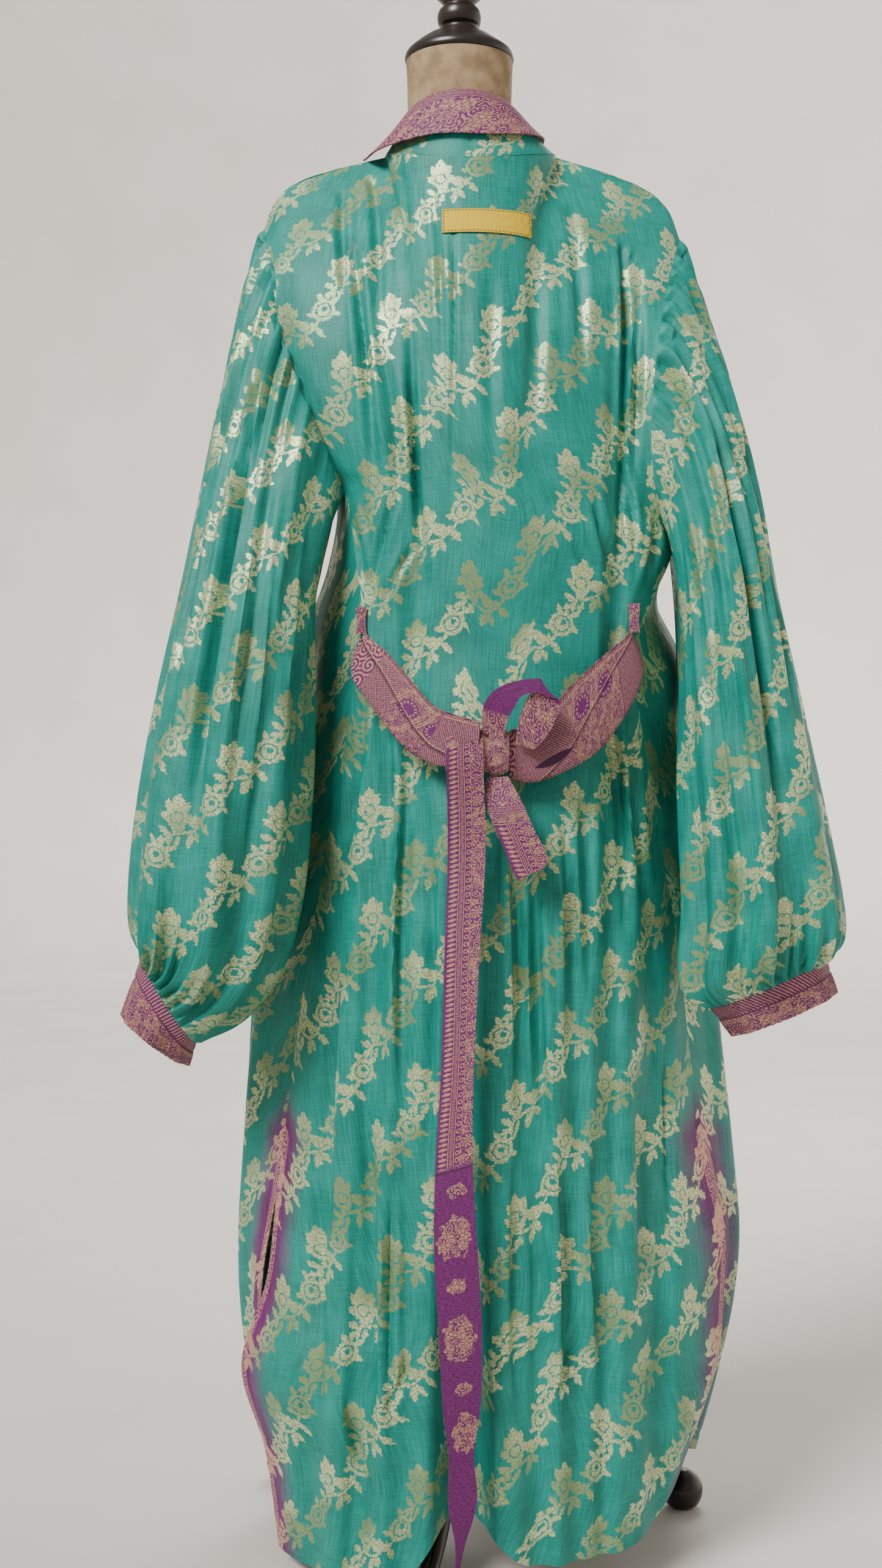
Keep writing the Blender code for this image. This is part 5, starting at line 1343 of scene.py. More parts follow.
def garland(weave, place):
    """Share of gold thread at a place: buds, sprays and roses on a half-drop lattice.

    Each motif is an oval or a pointed leaf; the nearest outline decides. Fine cracks of a cell
    pattern part the petals, and rings are left open in the bud and the rose."""
    wobble = weave.node("ShaderNodeTexNoise", noise_dimensions="2D")
    weave.link(place, wobble.inputs["Vector"])
    wobble.inputs["Scale"].default_value = 3.4
    wobble.inputs["Detail"].default_value = 1.0
    moved = weave.vector("MULTIPLY", weave.vector("SUBTRACT", wobble.outputs[1], (0.5, 0.5, 0.5)),
                         (0.42, 0.42, 0.0))
    place = weave.vector("ADD", weave.vector("SUBTRACT", place, (*GARLAND_START, 0.0)), moved)
    near_bud = weave.wrapped(place, (1.0, -2.5), GARLAND_CELL, GARLAND_SHIFT)
    near_rose = weave.wrapped(place, ROSE_CENTRE, GARLAND_CELL, GARLAND_SHIFT)
    leaves = [weave.leaf_motif(near_bud, *item) for item in BUD_LEAVES + SPRAY_LEAVES]
    leaves += [weave.leaf_motif(near_rose, *item) for item in ROSE_LEAVES]
    rounds = [weave.round_motif(near_bud, *item) for item in BUD_ROUNDS + SPRAY_ROUNDS]
    rose = weave.round_motif(near_rose, ROSE_CENTRE, 0.0, 1.22, 1.18)
    outline = least(leaves + rounds + [rose])
    eye_centre = (ROSE_CENTRE[0] + 0.1, ROSE_CENTRE[1] + 0.15)
    eye = weave.round_motif(near_rose, eye_centre, 0.0, 0.30, 0.30)
    ring = (rose - 0.62).size()
    bud_ring = (rounds[0] - 0.55).size()
    veins = petals(weave, place, 2.3, 0.02, 0.075)
    inside = outline.step_down(0.90, 1.06)
    open_lines = ring.less(bud_ring).step_up(0.03, 0.09).less(eye.step_up(0.85, 1.05))
    return inside * open_lines.less(veins * 0.6 + 0.4)


def petals(weave, place, scale, low, high):
    """Small leaves side by side: one inside each cell of a cell pattern, zero at its outline."""
    cells = weave.node("ShaderNodeTexVoronoi", feature="DISTANCE_TO_EDGE", voronoi_dimensions="2D")
    weave.link(place, cells.inputs["Vector"])
    cells.inputs["Scale"].default_value = scale
    return Value(weave.tree, cells.outputs["Distance"]).step_up(low, high)


GREEN_DEEP = (0.005, 0.175, 0.138)
GREEN_LIGHT = (0.016, 0.310, 0.255)
# Gold thread: a lit tone (painted highlight), a shaded tone and a dull olive tone (painted shade)
GOLD_LIT_PAINTED = (0.800, 0.840, 0.490)
GOLD_SHADED_PAINTED = (0.330, 0.390, 0.180)
GOLD_DULL_PAINTED_SHADE = (0.170, 0.270, 0.120)
PLUM_DARK = (0.045, 0.008, 0.035)
PLUM_DEEP = (0.080, 0.008, 0.072)
PLUM_LIGHT = (0.200, 0.026, 0.180)
PINK_GOLD = (0.600, 0.345, 0.240)
PINK_DARK = (0.270, 0.110, 0.085)
SLIT_TOP = 0.42
HEM_STITCH = 0.019
SLIT_SHADE = (1.6, 5.4)
SLIT_BORDER = 0.85


def in_centimetres(weave):
    """Place on the cloth, in centimetres across and along it."""
    return weave.vector("MULTIPLY", weave.uv("cloth"), (100.0, 100.0, 0.0))


def threads_of(weave, place):
    """Uneven silk: threads drawn out down the cloth and across it, and slow cloudy tone."""
    down = weave.noise(place, 1.0, 3.0, (7.0, 0.30, 1.0))
    across = weave.noise(place, 1.0, 2.0, (0.45, 9.0, 1.0))
    cloud = weave.noise(place, 0.22, 1.0)
    return down * 0.45 + across * 0.30 + cloud * 0.25


def green_brocade():
    """Green slub silk with woven gold garlands, graded to plum at the slit edges; the gold is
    painted in lit and shaded tones, with dull patches of painted shade.
    """
    weave = Weave("green_brocade_cloth")
    place = in_centimetres(weave)
    edges = weave.uv("edges")
    gold = garland(weave, place)
    threads = threads_of(weave, place)
    tone = threads.step_up(0.34, 0.66)
    ground = weave.mixed(tone, GREEN_DEEP, GREEN_LIGHT)
    plum = weave.mixed(tone, PLUM_DEEP, PLUM_LIGHT)
    slit = weave.axis(edges, (100.0, 0.0, 0.0)) + weave.noise(place, 0.35, 1.0) * 1.4
    ground = weave.mixed(slit.step_down(*SLIT_SHADE), ground, plum)
    # Gold painted in fine specks between its lit and shaded tones, then in slow patches towards
    # dull olive: painted light and shade for thread turning to and from the light
    motif = weave.mixed(weave.noise(place, 5.0, 2.0).step_up(0.3, 0.7), GOLD_SHADED_PAINTED, GOLD_LIT_PAINTED)
    motif = weave.mixed(weave.noise(place, 0.10, 1.0).step_up(0.42, 0.60) * 0.8, motif, GOLD_DULL_PAINTED_SHADE)
    motif = weave.mixed(slit.step_down(1.4, 3.2), motif, PINK_GOLD)
    border = weave.axis(edges, (100.0, 0.0, 0.0)).step_down(SLIT_BORDER - 0.08, SLIT_BORDER)
    gold = gold.more(border * curls(weave, place, 1.5) * 0.8)
    colour = weave.mixed(gold, ground, motif)
    stitch = weave.axis(edges, (0.0, 100.0, 0.0)).line(100.0 * HEM_STITCH, 0.05)
    colour = weave.mixed(stitch * 0.45, colour, GREEN_DEEP)
    weave.shader.inputs["Specular IOR Level"].default_value = 0.30
    return weave.finish(colour, gold * -0.12 + 0.52, threads, 0.00035, gold * 0.35)


def curls(weave, place, scale):
    """Curling lines: rings round the points of a cell pattern, bent by noise."""
    noise = weave.node("ShaderNodeTexNoise", noise_dimensions="2D")
    weave.link(place, noise.inputs["Vector"])
    noise.inputs["Scale"].default_value = 1.3 * scale
    bent = weave.vector("ADD", place, weave.vector("MULTIPLY", noise.outputs[1], (0.35, 0.35, 0.0)))
    cells = weave.node("ShaderNodeTexVoronoi", feature="F1", voronoi_dimensions="2D")
    weave.link(bent, cells.inputs["Vector"])
    cells.inputs["Scale"].default_value = scale
    return (Value(weave.tree, cells.outputs["Distance"]) * 19.0).join("SINE").step_up(-0.25, 0.25)


def foliage(weave, place, scale, cover):
    """Leaf sprays on open ground: petals where a noise is high, curling lines elsewhere."""
    body = weave.noise(place, 0.55 * scale, 1.0).step_up(cover - 0.03, cover + 0.03)
    leaves = petals(weave, place, 1.9 * scale, 0.03, 0.09) * body
    return leaves.more(curls(weave, place, 0.9 * scale) * (body * -0.85 + 0.85))


def rope(weave, place, across, centre, half):
    """Twisted cord between two fine lines: a slanted hatch inside a band."""
    place_across = weave.axis(place, across)
    hatch = weave.axis(place, (1.0, 1.0, 0.0)).wave(0.26).step_up(-0.3, 0.3)
    inside = (place_across - centre).size()
    return (inside.step_down(0.8 * half, half) * hatch).more(inside.line(half + 0.10, 0.045))


def diaper(weave, place, pitch):
    """Fine lozenges: product of two slanted waves."""
    first = weave.axis(place, (1.0, 1.0, 0.0)).wave(2.0 * pitch)
    second = weave.axis(place, (1.0, -1.0, 0.0)).wave(2.0 * pitch)
    return (first * second).size().step_up(0.22, 0.55)


def fans(weave, place, centre, repeat):
    """Plain ovals in a ring of dots on a field of foliage, with two slanted lines between them."""
    near = weave.wrapped(place, centre, (40.0, repeat), 0.0)
    inside = weave.placed(near, centre, 20.0, 0.80, 1.05)
    radius, angle = weave.polar(inside, (0.0, 0.0))
    dots = radius.line(0.80, 0.14) * (angle * 13.0).join("SINE").step_up(-0.2, 0.3)
    slant = weave.axis(near, (0.45, 1.0, 0.0)) - (0.45 * centre[0] + centre[1])
    lines = slant.size().line(1.35, 0.06).more(slant.size().line(1.60, 0.05))
    field = foliage(weave, place, 2.4, 0.54) * radius.step_up(1.05, 1.15)
    return field.more(dots).more(lines)


def volutes(weave, place, size):
    """Paisley swirls: a spiral, sine of angle plus radius, in each cell of a half-drop lattice."""
    near = weave.wrapped(place, (0.0, 0.0), (size, size), 0.5 * size)
    radius, angle = weave.polar(near, (0.0, 0.0))
    return (angle + radius * (24.0 / size)).join("SINE").step_up(-0.35, 0.15)


def jacquard(name, pattern):
    """Plum cloth with pinkish gold threads where the pattern is one, and shaded where it says."""
    weave = Weave(name)
    place = in_centimetres(weave)
    gold, shade = pattern(weave, place)
    weft = weave.noise(place, 1.0, 2.0, (3.0, 12.0, 1.0))
    tone = weft.step_up(0.3, 0.7)
    ground = weave.mixed(tone, PLUM_DEEP, PLUM_LIGHT)
    motif = weave.mixed(tone, PINK_DARK, PINK_GOLD)
    colour = weave.mixed(gold, ground, motif)
    # Painted shade: darkened towards deep plum where the pattern gives a shade mask
    if shade is not None:
        colour = weave.mixed(shade, colour, PLUM_DARK)
    weave.shader.inputs["Specular IOR Level"].default_value = 0.30
    return weave.finish(colour, 0.62, gold * 0.6 + weft * 0.4, 0.0005)


ACROSS = (1.0, 0.0, 0.0)
ALONG = (0.0, 1.0, 0.0)


def collar_pattern(weave, place):
    """Twisted cord below the roll of the collar, foliage above and below it, lines across."""
    height = weave.axis(place, ALONG)
    cord = rope(weave, place, ALONG, 2.75, 0.20)
    field = foliage(weave, place, 1.10, 0.54) * (height - 2.75).size().step_up(0.40, 0.48)
    post = weave.axis(place, ACROSS).join("WRAP", 0.0, 6.4).line(3.2, 0.05)
    return cord.more(field).more(post * height.step_up(3.2, 3.3)), None


def band_pattern(weave, place):
    """Twisted cord beside the free edge, foliage on the rest of the width."""
    width = weave.axis(place, ACROSS)
    cord = rope(weave, place, ACROSS, 0.55, 0.20)
    return cord.more(foliage(weave, place, 1.10, 0.54) * width.step_up(0.98, 1.06)), None


def cuff_pattern(weave, place):
    """Slanted fine threads beside the sleeve, foliage past the sewn line."""
    height = weave.axis(place, ALONG)
    hatch = weave.axis(place, (1.0, 0.55, 0.0)).wave(0.30).step_up(-0.1, 0.5)
    outer = foliage(weave, place, 1.5, 0.52)
    gold = (hatch * height.step_down(1.5, 1.7)).more(outer * height.step_up(1.6, 1.8))
    return gold, height.line(1.65, 0.10) * 0.5


def belt_pattern(first, second, third, layer, gap=None):
    """Belt stretch: swirls, lozenges, fans and lozenges again along it, and a layer's edge.

    The layer's edge runs slantwise: its place across the belt at the start, and its slope; a
    painted shadow lies just below it.
    The gap is a painted shadow where two layers part: its place, turn and half sizes."""
    def pattern(weave, place):
        width = weave.axis(place, ACROSS)
        along = weave.axis(place, ALONG)
        start, slope = layer
        edge = width - along * slope - start
        gold = volutes(weave, place, 1.9) * along.step_down(first - 0.1, first + 0.1)
        gold = gold.more(diaper(weave, place, 0.24) * along.band(first, second))
        gold = gold.more(fans(weave, place, (1.9, second + 1.9), 3.5) * along.band(second, third))
        gold = gold.more(diaper(weave, place, 0.26) * along.step_up(third, third + 0.2))
        gold = gold.more(width.line(0.22, 0.05)).more(edge.line(0.0, 0.06))
        # Painted shadow just below the upper layer's edge
        shade = edge.step_up(0.05, 0.09) * edge.step_down(0.10, 0.55) * 0.75
        if gap is not None:
            # Painted shadow filling the gap where the two layers part, with no gold in it
            gap_painted_shadow = weave.leaf_motif(place, *gap).step_down(0.90, 1.05)
            gold = gold * (gap_painted_shadow * -1.0 + 1.0)
            shade = shade.more(gap_painted_shadow)
        return gold, shade
    return pattern


def striped(weave, place):
    """Stripes along the belt: teeth, cord, rings and foliage with a large flower."""
    width = weave.axis(place, ACROSS)
    along = weave.axis(place, ALONG)
    teeth = (along.wave(0.46) - (width - 0.62).size() * 3.0 + 0.70).step_up(-0.25, 0.25)
    teeth = teeth * width.band(0.25, 1.02)
    cord = rope(weave, place, ACROSS, 1.38, 0.17)
    beads = along.join("WRAP", 0.0, 0.66)
    bead = weave.node("ShaderNodeCombineXYZ")
    weave.link(width.socket, bead.inputs[0])
    weave.link(beads.socket, bead.inputs[1])
    radius, _ = weave.polar(bead.outputs[0], (1.98, 0.33))
    rings = radius.line(0.17, 0.055)
    flower_place = weave.wrapped(place, (2.85, 5.6), (40.0, 10.5), 0.0)
    far, angle = weave.polar(flower_place, (2.85, 5.6))
    flower = far.step_down(0.55, 0.62) * (angle * 9.0 + far * 9.0).join("SINE").step_up(-0.6, -0.2)
    field = foliage(weave, place, 1.7, 0.56) * far.step_up(0.70, 0.76)
    field = field.more(flower) * width.step_up(2.30, 2.36)
    bars = along.join("WRAP", 0.0, 10.5).line(6.9, 0.06) * width.step_up(1.75, 1.8)
    return teeth.more(cord).more(rings).more(width.line(2.26, 0.04)).more(field).more(bars)


# Where the long tail's stripes end, and bouquets on the plain cloth below: place across and
# along it, turn, half sizes
TAIL_JOIN = 39.2
BOUQUETS = [
    ((2.0, 41.4), 0.0, 0.95, 0.65), ((1.9, 45.6), 0.3, 1.55, 2.00), ((2.0, 50.0), 0.0, 0.95, 0.70),
    ((1.9, 54.8), 0.3, 1.55, 2.10), ((2.0, 59.4), 0.5, 0.80, 0.65), ((1.9, 63.6), 0.3, 1.40, 1.90),
]


def long_tail_pattern(weave, place):
    """Stripes down to the join, then bouquets on plain plum."""
    along = weave.axis(place, ALONG)
    rounds = least([weave.round_motif(place, *item) for item in BOUQUETS])
    rough = rounds + weave.noise(place, 1.5, 3.0) * 1.1
    sprays = foliage(weave, place, 1.5, 0.47) * rough.step_down(1.48, 1.54)
    plain_end = along.step_up(TAIL_JOIN - 0.3, TAIL_JOIN + 0.3)
    gold = striped(weave, place) * (plain_end * -1.0 + 1.0)
    return gold.more(sprays * plain_end), along.line(TAIL_JOIN + 0.3, 0.10) * 0.5


def short_tail_pattern(weave, place):
    """Foliage under the knot, cords across, then stripes along."""
    along = weave.axis(place, ALONG)
    top = foliage(weave, place, 1.5, 0.55) * along.step_down(2.9, 3.0)
    cross = rope(weave, place, ALONG, 3.35, 0.17)
    middle = foliage(weave, place, 2.2, 0.50) * along.band(3.75, 4.6)
    lower = striped(weave, place) * along.step_up(4.8, 4.9)
    return top.more(cross).more(middle).more(lower).more(along.line(4.72, 0.05)), None


def loop_pattern(weave, place):
    """Plain plum over the top of the bow, foliage on its two legs."""
    along = weave.axis(place, ALONG)
    legs = along.step_down(2.0, 2.6).more(along.step_up(8.6, 8.9))
    return foliage(weave, place, 1.5, 0.52) * legs, None


def fine_pattern(weave, place):
    """Small foliage all over."""
    return foliage(weave, place, 1.9, 0.53), None


def plain(name, colour, dark, roughness, scale, depth):
    """Plain finish with uneven colour and a fine grain on Object coordinates."""
    weave = Weave(name)
    place = weave.object_place()
    grain = weave.noise(place, scale, 4.0)
    mixed = weave.mixed(grain.step_up(0.3, 0.7), dark, colour)
    return weave.finish(mixed, roughness, grain, depth)


BROCADE = green_brocade()
COLLAR_JACQUARD = jacquard("collar_jacquard_cloth", collar_pattern)
BAND_JACQUARD = jacquard("band_jacquard_cloth", band_pattern)
CUFF_JACQUARD = jacquard("cuff_jacquard_cloth", cuff_pattern)
BELT_JACQUARD = dict(
    left=jacquard("belt_left_jacquard", belt_pattern(4.6, 8.2, 13.6, (0.3, 0.20))),
    # Right stretch: its last entry places the painted shadow of the gap between its layers
    right=jacquard("belt_right_jacquard", belt_pattern(
        0.5, 6.4, 14.0, (6.2, -0.37), ((4.0, 4.4), 84.0, 2.1, 0.42))),
)
LONG_TAIL_JACQUARD = jacquard("long_tail_jacquard", long_tail_pattern)
SHORT_TAIL_JACQUARD = jacquard("short_tail_jacquard", short_tail_pattern)
LOOP_JACQUARD = jacquard("loop_jacquard", loop_pattern)
FINE_JACQUARD = jacquard("fine_jacquard", fine_pattern)
LINEN = plain("form_linen_cloth", (0.420, 0.300, 0.170), (0.250, 0.170, 0.090), 0.9, 60.0, 0.0004)
WOOD = plain("dark_wood_polish", (0.030, 0.020, 0.016), (0.010, 0.007, 0.006), 0.32, 14.0, 0.0002)


def label_yellow():
    """Yellow woven patch: fine twill, and a line of stitches all round inside its edge."""
    weave = Weave("label_yellow_cloth")
    place = in_centimetres(weave)
    across = weave.axis(place, ACROSS)
    along = weave.axis(place, ALONG)
    wide, tall = (100.0 * (LABEL_BOX[k + 1] - LABEL_BOX[k]) for k in (0, 2))
    rim = ((across - 0.5 * wide).size() - 0.5 * wide).more((along - 0.5 * tall).size() - 0.5 * tall)
    dashes = weave.axis(place, (1.0, 1.0, 0.0)).wave(0.36).step_up(-0.5, -0.2)
    stitch = rim.line(-0.19, 0.045) * dashes
    twill = weave.axis(place, (1.0, 1.4, 0.0)).wave(0.09) * 0.25 + weave.noise(place, 6.0, 3.0)
    colour = weave.mixed(twill.step_up(0.2, 0.8), YELLOW_DEEP, YELLOW_LIGHT)
    colour = weave.mixed(stitch.more(rim.step_up(-0.07, -0.02) * 0.6), colour, YELLOW_STITCH)
    return weave.finish(colour, 0.75, twill * 0.4 - stitch, 0.0004)


YELLOW_LIGHT = (0.880, 0.600, 0.020)
YELLOW_DEEP = (0.640, 0.400, 0.012)
YELLOW_STITCH = (0.200, 0.120, 0.020)
YELLOW = label_yellow()


# The robe's pieces

def unfolded(points, zero_column):
    """Cloth coordinates of a grid in metres: distance along its rows as seen from above, from one
    column, and height less what the cloth spends on bends in depth on its way down."""
    across = lengths(points * LEVEL, 1)
    across = across - across[:, [zero_column]]
    step = np.diff(points, axis=0)
    spent = np.hypot(step[..., 1], step[..., 2]) - np.abs(step[..., 2])
    spent = np.concatenate([np.zeros_like(spent[:1]), np.cumsum(spent, axis=0)])
    return np.stack([across, points[..., 2] - spent], axis=2)


def own_lengths(points):
    """Cloth coordinates of a strip: lengths along its rows and down its columns."""
    return np.stack([lengths(points, 1), lengths(points, 0)], axis=2)


def edge_distances(points, slit_columns):
    """Distance from the nearest slit edge, growing above the slit, and distance from the hem.

    The first is scaled on the right side, so that its shading is wider there."""
    across = lengths(points, 1)
    total = across[:, -1:]
    far = np.full_like(across, 1.0)
    if 0 in slit_columns:
        far = np.minimum(far, across)
    if -1 in slit_columns:
        far = np.minimum(far, total - across)
    above = np.clip(points[..., 2] - SLIT_TOP, 0.0, 1.0)
    down = lengths(points, 0)
    far = far * np.where(points[..., 0] > 0.0, RIGHT_SLIT_SCALE, 1.0)
    return np.stack([far + above * ABOVE_SLIT_SCALE, down[-1] - down], axis=2)


def make_panel(node, points, uv, edges, finish, depth, ring=False, flip=False,
               wall=SHEET_WALL):
    """Move a grid in by its creases' depth, give it a wall and let it stand for its solid."""
    normals = grid_normals(points, ring, flip)
    outer = points - normals * depth[..., None]
    inner = outer - grid_normals(outer, ring, flip) * wall
    made = shell(f"{node}_cloth", outer, inner, uv, finish, ring, flip, edges)
    return stand_for(made, node)


SIDES = (("left", -1.0), ("right", 1.0))
SLEEVES = dict(left=SLEEVE_LEFT, right=SLEEVE_RIGHT)


def build_robe():
    """All the robe's pieces from one set of panels, so that their edges meet at the seams."""
    back = back_panel()
    solid = back_base()
    fronts = dict(
        left=front_panel(solid, SIDE_LEFT, FRONT_LEFT, ARMHOLE_LEFT, -1.0),
        right=front_panel(solid, SIDE_RIGHT, FRONT_RIGHT, ARMHOLE_RIGHT, 1.0),
    )
    # Sewn from the underarm to the slit only: above the underarm the armhole stays open
    sewn = slice(SEAM_ROWS, rows_to_slit())
    for side, column in (("left", 0), ("right", -1)):
        back[sewn, column] = fronts[side][sewn, 0]
    build_back(back)
    for side, sign in SIDES:
        build_front(side, fronts[side], sign)
    stand = collar_stand(back)
    build_stand(stand)
    for side, sign in SIDES:
        build_band(side, fronts[side], stand, sign)
    build_fall(stand)
    for side, sign in SIDES:
        build_sleeve(side, SLEEVES[side], back, fronts[side], sign)
        build_cuff(side, SLEEVES[side])
    build_label(back)


def build_back(back):
    """Back panel, laid out from its middle column: creases, puckers at the sides, a sewn hem."""
    middle = back.shape[1] // 2
    uv = unfolded(back, middle)
    uv[..., 0] += back[:, middle, 0].mean()
    depth = BACK_STRENGTH * strokes(back[..., 0], back[..., 2], BACK_CREASES)
    depth += ripple(back[..., 0], back[..., 2], PANEL_RIPPLE, 1.0)
    edges = edge_distances(back, (0, -1))
    across = lengths(back, 1)
    depth += puckers(np.minimum(across, across[:, -1:] - across), back[..., 2])
    depth += groove(edges[..., 1], HEM_STITCH, *HEM_GROOVE)
    resting = ramp((back[..., 2] - SHOULDER_REST) / SHOULDER_BLEND)
    depth += resting * np.maximum(-depth, 0.0)
    make_panel("robe_back", back, uv, edges, BROCADE,
               depth * seam_fade(back.shape[1]))


def build_front(side, front, sign):
    """Front panel, laid out from its front edge: creases, puckers at its seam, a sewn hem."""
    uv = unfolded(front, -1)
    if side == "left":
        uv[..., 0] *= -1.0
    edges = edge_distances(front, (0,))
    from_seam = lengths(front, 1)
    away = from_seam[:, -1:] - from_seam
    depth = FRONT_STRENGTH * strokes(away, front[..., 2], FRONT_CREASES)
    depth += ripple(away, front[..., 2], PANEL_RIPPLE, 2.0)
    depth += puckers(from_seam, front[..., 2])
    depth += groove(edges[..., 1], HEM_STITCH, *HEM_GROOVE)
    make_panel(f"robe_front_{side}", front, uv, edges, BROCADE,
               depth * seam_fade(front.shape[1]), flip=sign < 0)


def build_stand(stand):
    """Collar stand, with a seam down its middle and stitches above its lower edge."""
    around = lengths(stand, 1)
    uv = np.stack([around, stand[..., 2]], axis=2)
    edges = np.ones_like(uv)
    edges[..., 1] = lengths(stand, 0)[::-1] + HEM_STITCH - STAND_STITCH
    seam = groove(around, 0.5 * around[:, -1:], *COLLAR_GROOVE)
    make_panel("collar_stand", stand, uv, edges, BROCADE, seam)


def build_band(side, front, stand, sign):
    """Front band, laid out by its own lengths."""
    band = front_band(front, stand, sign)
    make_panel(f"front_band_{side}", band, own_lengths(band), None, BAND_JACQUARD,
               np.zeros_like(band[..., 0]), flip=sign < 0)


def build_fall(stand):
    """Turned-down collar, laid out by its own lengths."""
    fall = collar_fall(stand)
    make_panel("collar_fall", fall, own_lengths(fall), None, COLLAR_JACQUARD,
               np.zeros_like(fall[..., 0]), wall=FALL_WALL)


def rows_to_slit():
    """Number of rows from the shoulder down to the top of the side slit."""
    slit_row = int(np.searchsorted(LOWER_ROWS, SLIT_SHARE)) + 1
    return SEAM_ROWS + slit_row * LOWER_STEPS + 1


def seam_fade(columns):
    """Zero at a panel's side edges, one a few columns further in."""
    column = np.arange(columns)
    return ramp(np.minimum(column, column[::-1]) / SEAM_COLUMNS)[None, :]


def build_sleeve(side, table, back, front, sign):
    """One sleeve: ovals with broad gathers, long folds and short gathers at both ends."""
    fine = sleeve_surface(table, back, front, sign)
    flip = sign > 0
    count = fine.shape[1]
    waves = sleeve_waves(table, fine)
    centre = fine.mean(axis=1, keepdims=True)
    reach = 0.5 * np.linalg.norm(fine[:, [0]] - fine[:, [count // 2]], axis=2, keepdims=True)
    fine = centre + (fine - centre) * (1.0 + waves[..., None] / reach)
    turn = (np.arange(count) / count + 0.5) % 1.0 - 0.5
    turn = np.broadcast_to(turn, fine.shape[:2])
    down = lengths(fine, 0)
    left = down[-1] - down
    folds = SLEEVE_CREASES.copy()
    folds[:, [0, 2]] *= SLEEVE_ROUND
    depth = SLEEVE_STRENGTH * strokes(turn * SLEEVE_ROUND, down, folds)
    depth += GATHER_STRENGTH * (gathers(turn, left, SLEEVE_ROUND, CUFF_GATHERS)
                                + gathers(turn, down, SLEEVE_ROUND, HEAD_GATHERS))
    depth += ripple(turn * SLEEVE_ROUND, down, SLEEVE_RIPPLE, 3.0 + sign)
    facing = ramp((np.abs(turn) - SLEEVE_FACING) / FACING_BLEND)
    depth -= facing * np.maximum(depth, 0.0)
    depth *= ramp(down / HEAD_SEAM) * ramp(left / CUFF_SEAM)
    roll = -(count // 2)
    fine = np.roll(fine, roll, axis=1)
    depth = np.roll(depth, roll, axis=1)
    down = np.roll(down, roll, axis=1)
    start = fine[0, :, 2]
    share = np.linspace(-0.5, 0.5, count + 1)
    u = np.broadcast_to(-sign * share * SLEEVE_ROUND, (len(fine), count + 1))
    v = start - down
    v = np.concatenate([v, v[:, :1]], axis=1)
    uv = np.stack([u, v], axis=2)
    edges = np.ones_like(uv)
    make_panel(f"sleeve_{side}", fine, uv, edges, BROCADE, depth, ring=True,
               flip=flip)


def build_cuff(side, table):
    """One cuff: flat rings from the sleeve's end to a slightly waved edge, with a seam round it."""
    count = SLEEVE_COLUMNS * SLEEVE_STEPS
    angle = ring_angles(count)
    start, end = ovals(np.stack([table[-1, :7], CUFF_END[side]]), count)
    share = np.linspace(0.0, 1.0, CUFF_ROWS + 1)[:, None, None]
    rings = start + (end - start) * share
    middle = rings.mean(axis=1, keepdims=True)
    wave = 1.0 + CUFF_WAVE * share[..., 0] * np.cos(CUFF_WAVES * angle)
    rings = middle + (rings - middle) * wave[..., None]
    flip = side == "right"
    normals = grid_normals(rings, True, flip)
    seam = groove(share[..., 0], *CUFF_GROOVE)
    number, height, first, blend = CUFF_RIBS
    ribs = height * np.cos(number * angle) * ramp((share[..., 0] - first) / blend)
    outer = rings + normals * (ribs - seam + CUFF_LIFT)[..., None]
    inner = outer - normals * CUFF_WALL
    around = np.linspace(0.0, 1.0, count + 1)
    u = np.broadcast_to(around * CUFF_ROUND, (len(rings), count + 1))
    v = lengths(rings, 0)
    v = np.concatenate([v, v[:, :1]], axis=1)
    made = shell(f"cuff_{side}_cloth", outer, inner, np.stack([u, v], axis=2), CUFF_JACQUARD,
                 True, flip)
    stand_for(made, f"cuff_{side}")


def build_label(back):
    """Bare woven patch: the back's own depth, moved out."""
    x_low, x_high, z_low, z_high = LABEL_BOX
    x = np.linspace(x_low, x_high, LABEL_COLUMNS)
    z = np.linspace(z_high, z_low, LABEL_ROWS)
    depth = np.empty((len(z), len(x)))
    top = back[:SEAM_ROWS]
    centre = back.shape[1] // 2
    middle = top[:, centre + LABEL_REACH[0]:centre + LABEL_REACH[1]]
    for column, place in enumerate(x):
        nearest = np.abs(middle[..., 0] - place).argmin(axis=1)
        row = np.arange(len(middle))
        depth[:, column] = np.interp(-z, -middle[row, nearest, 2], middle[row, nearest, 1])
    grid_x, grid_z = np.meshgrid(x, z)
    points = np.stack([grid_x, depth - LABEL_LIFT - LABEL_THICK, grid_z], axis=2)
    inner = points + LABEL_THICK * DEPTHWARDS
    uv = np.stack([grid_x - x_low, grid_z - z_low], axis=2)
    made = shell("label_patch", points, inner, uv, YELLOW)
    stand_for(made, "label")


# The belt

def belt_piece(node, points, finish, centred=False):
    """Thin strip from a grid of points, with its own width and length as cloth coordinates."""
    normals = grid_normals(points)
    outer = points + normals * 0.5 * BELT_WALL if centred else points
    inner = outer - normals * BELT_WALL
    made = shell(f"{node}_cloth", outer, inner, own_lengths(points), finish)
    return stand_for(made, node)


def build_belt():
    """Two stretches to the knot, two hanging ends, the bow loop, two tabs and the knot."""
    for side, table in (("left", BELT_LEFT), ("right", BELT_RIGHT)):
        build_stretch(side, table)
    build_long_tail()
    build_short_tail()
    build_bow_loop()
    for side, place in (("left", TAB_LEFT), ("right", TAB_RIGHT)):
        build_tab(side, *place)
    build_knot()


def build_stretch(side, table):
    """Folded belt: its profile goes from the upper edge to the lower one and back inside."""
    profile = evenly(BELT_PROFILE, (len(BELT_PROFILE) - 1) * BELT_STEPS + 1)
    rows = evenly(table, BELT_ROWS)
    upper = rows[:, None, [0, 4, 1]]
    lower = rows[:, None, [2, 4, 3]]
    gap = rows[:, None, [5]] * DEPTHWARDS
    points = upper + (lower - upper) * profile[:, :1] + gap * profile[:, 1:]
    belt_piece(f"belt_{side}", points, BELT_JACQUARD[side])


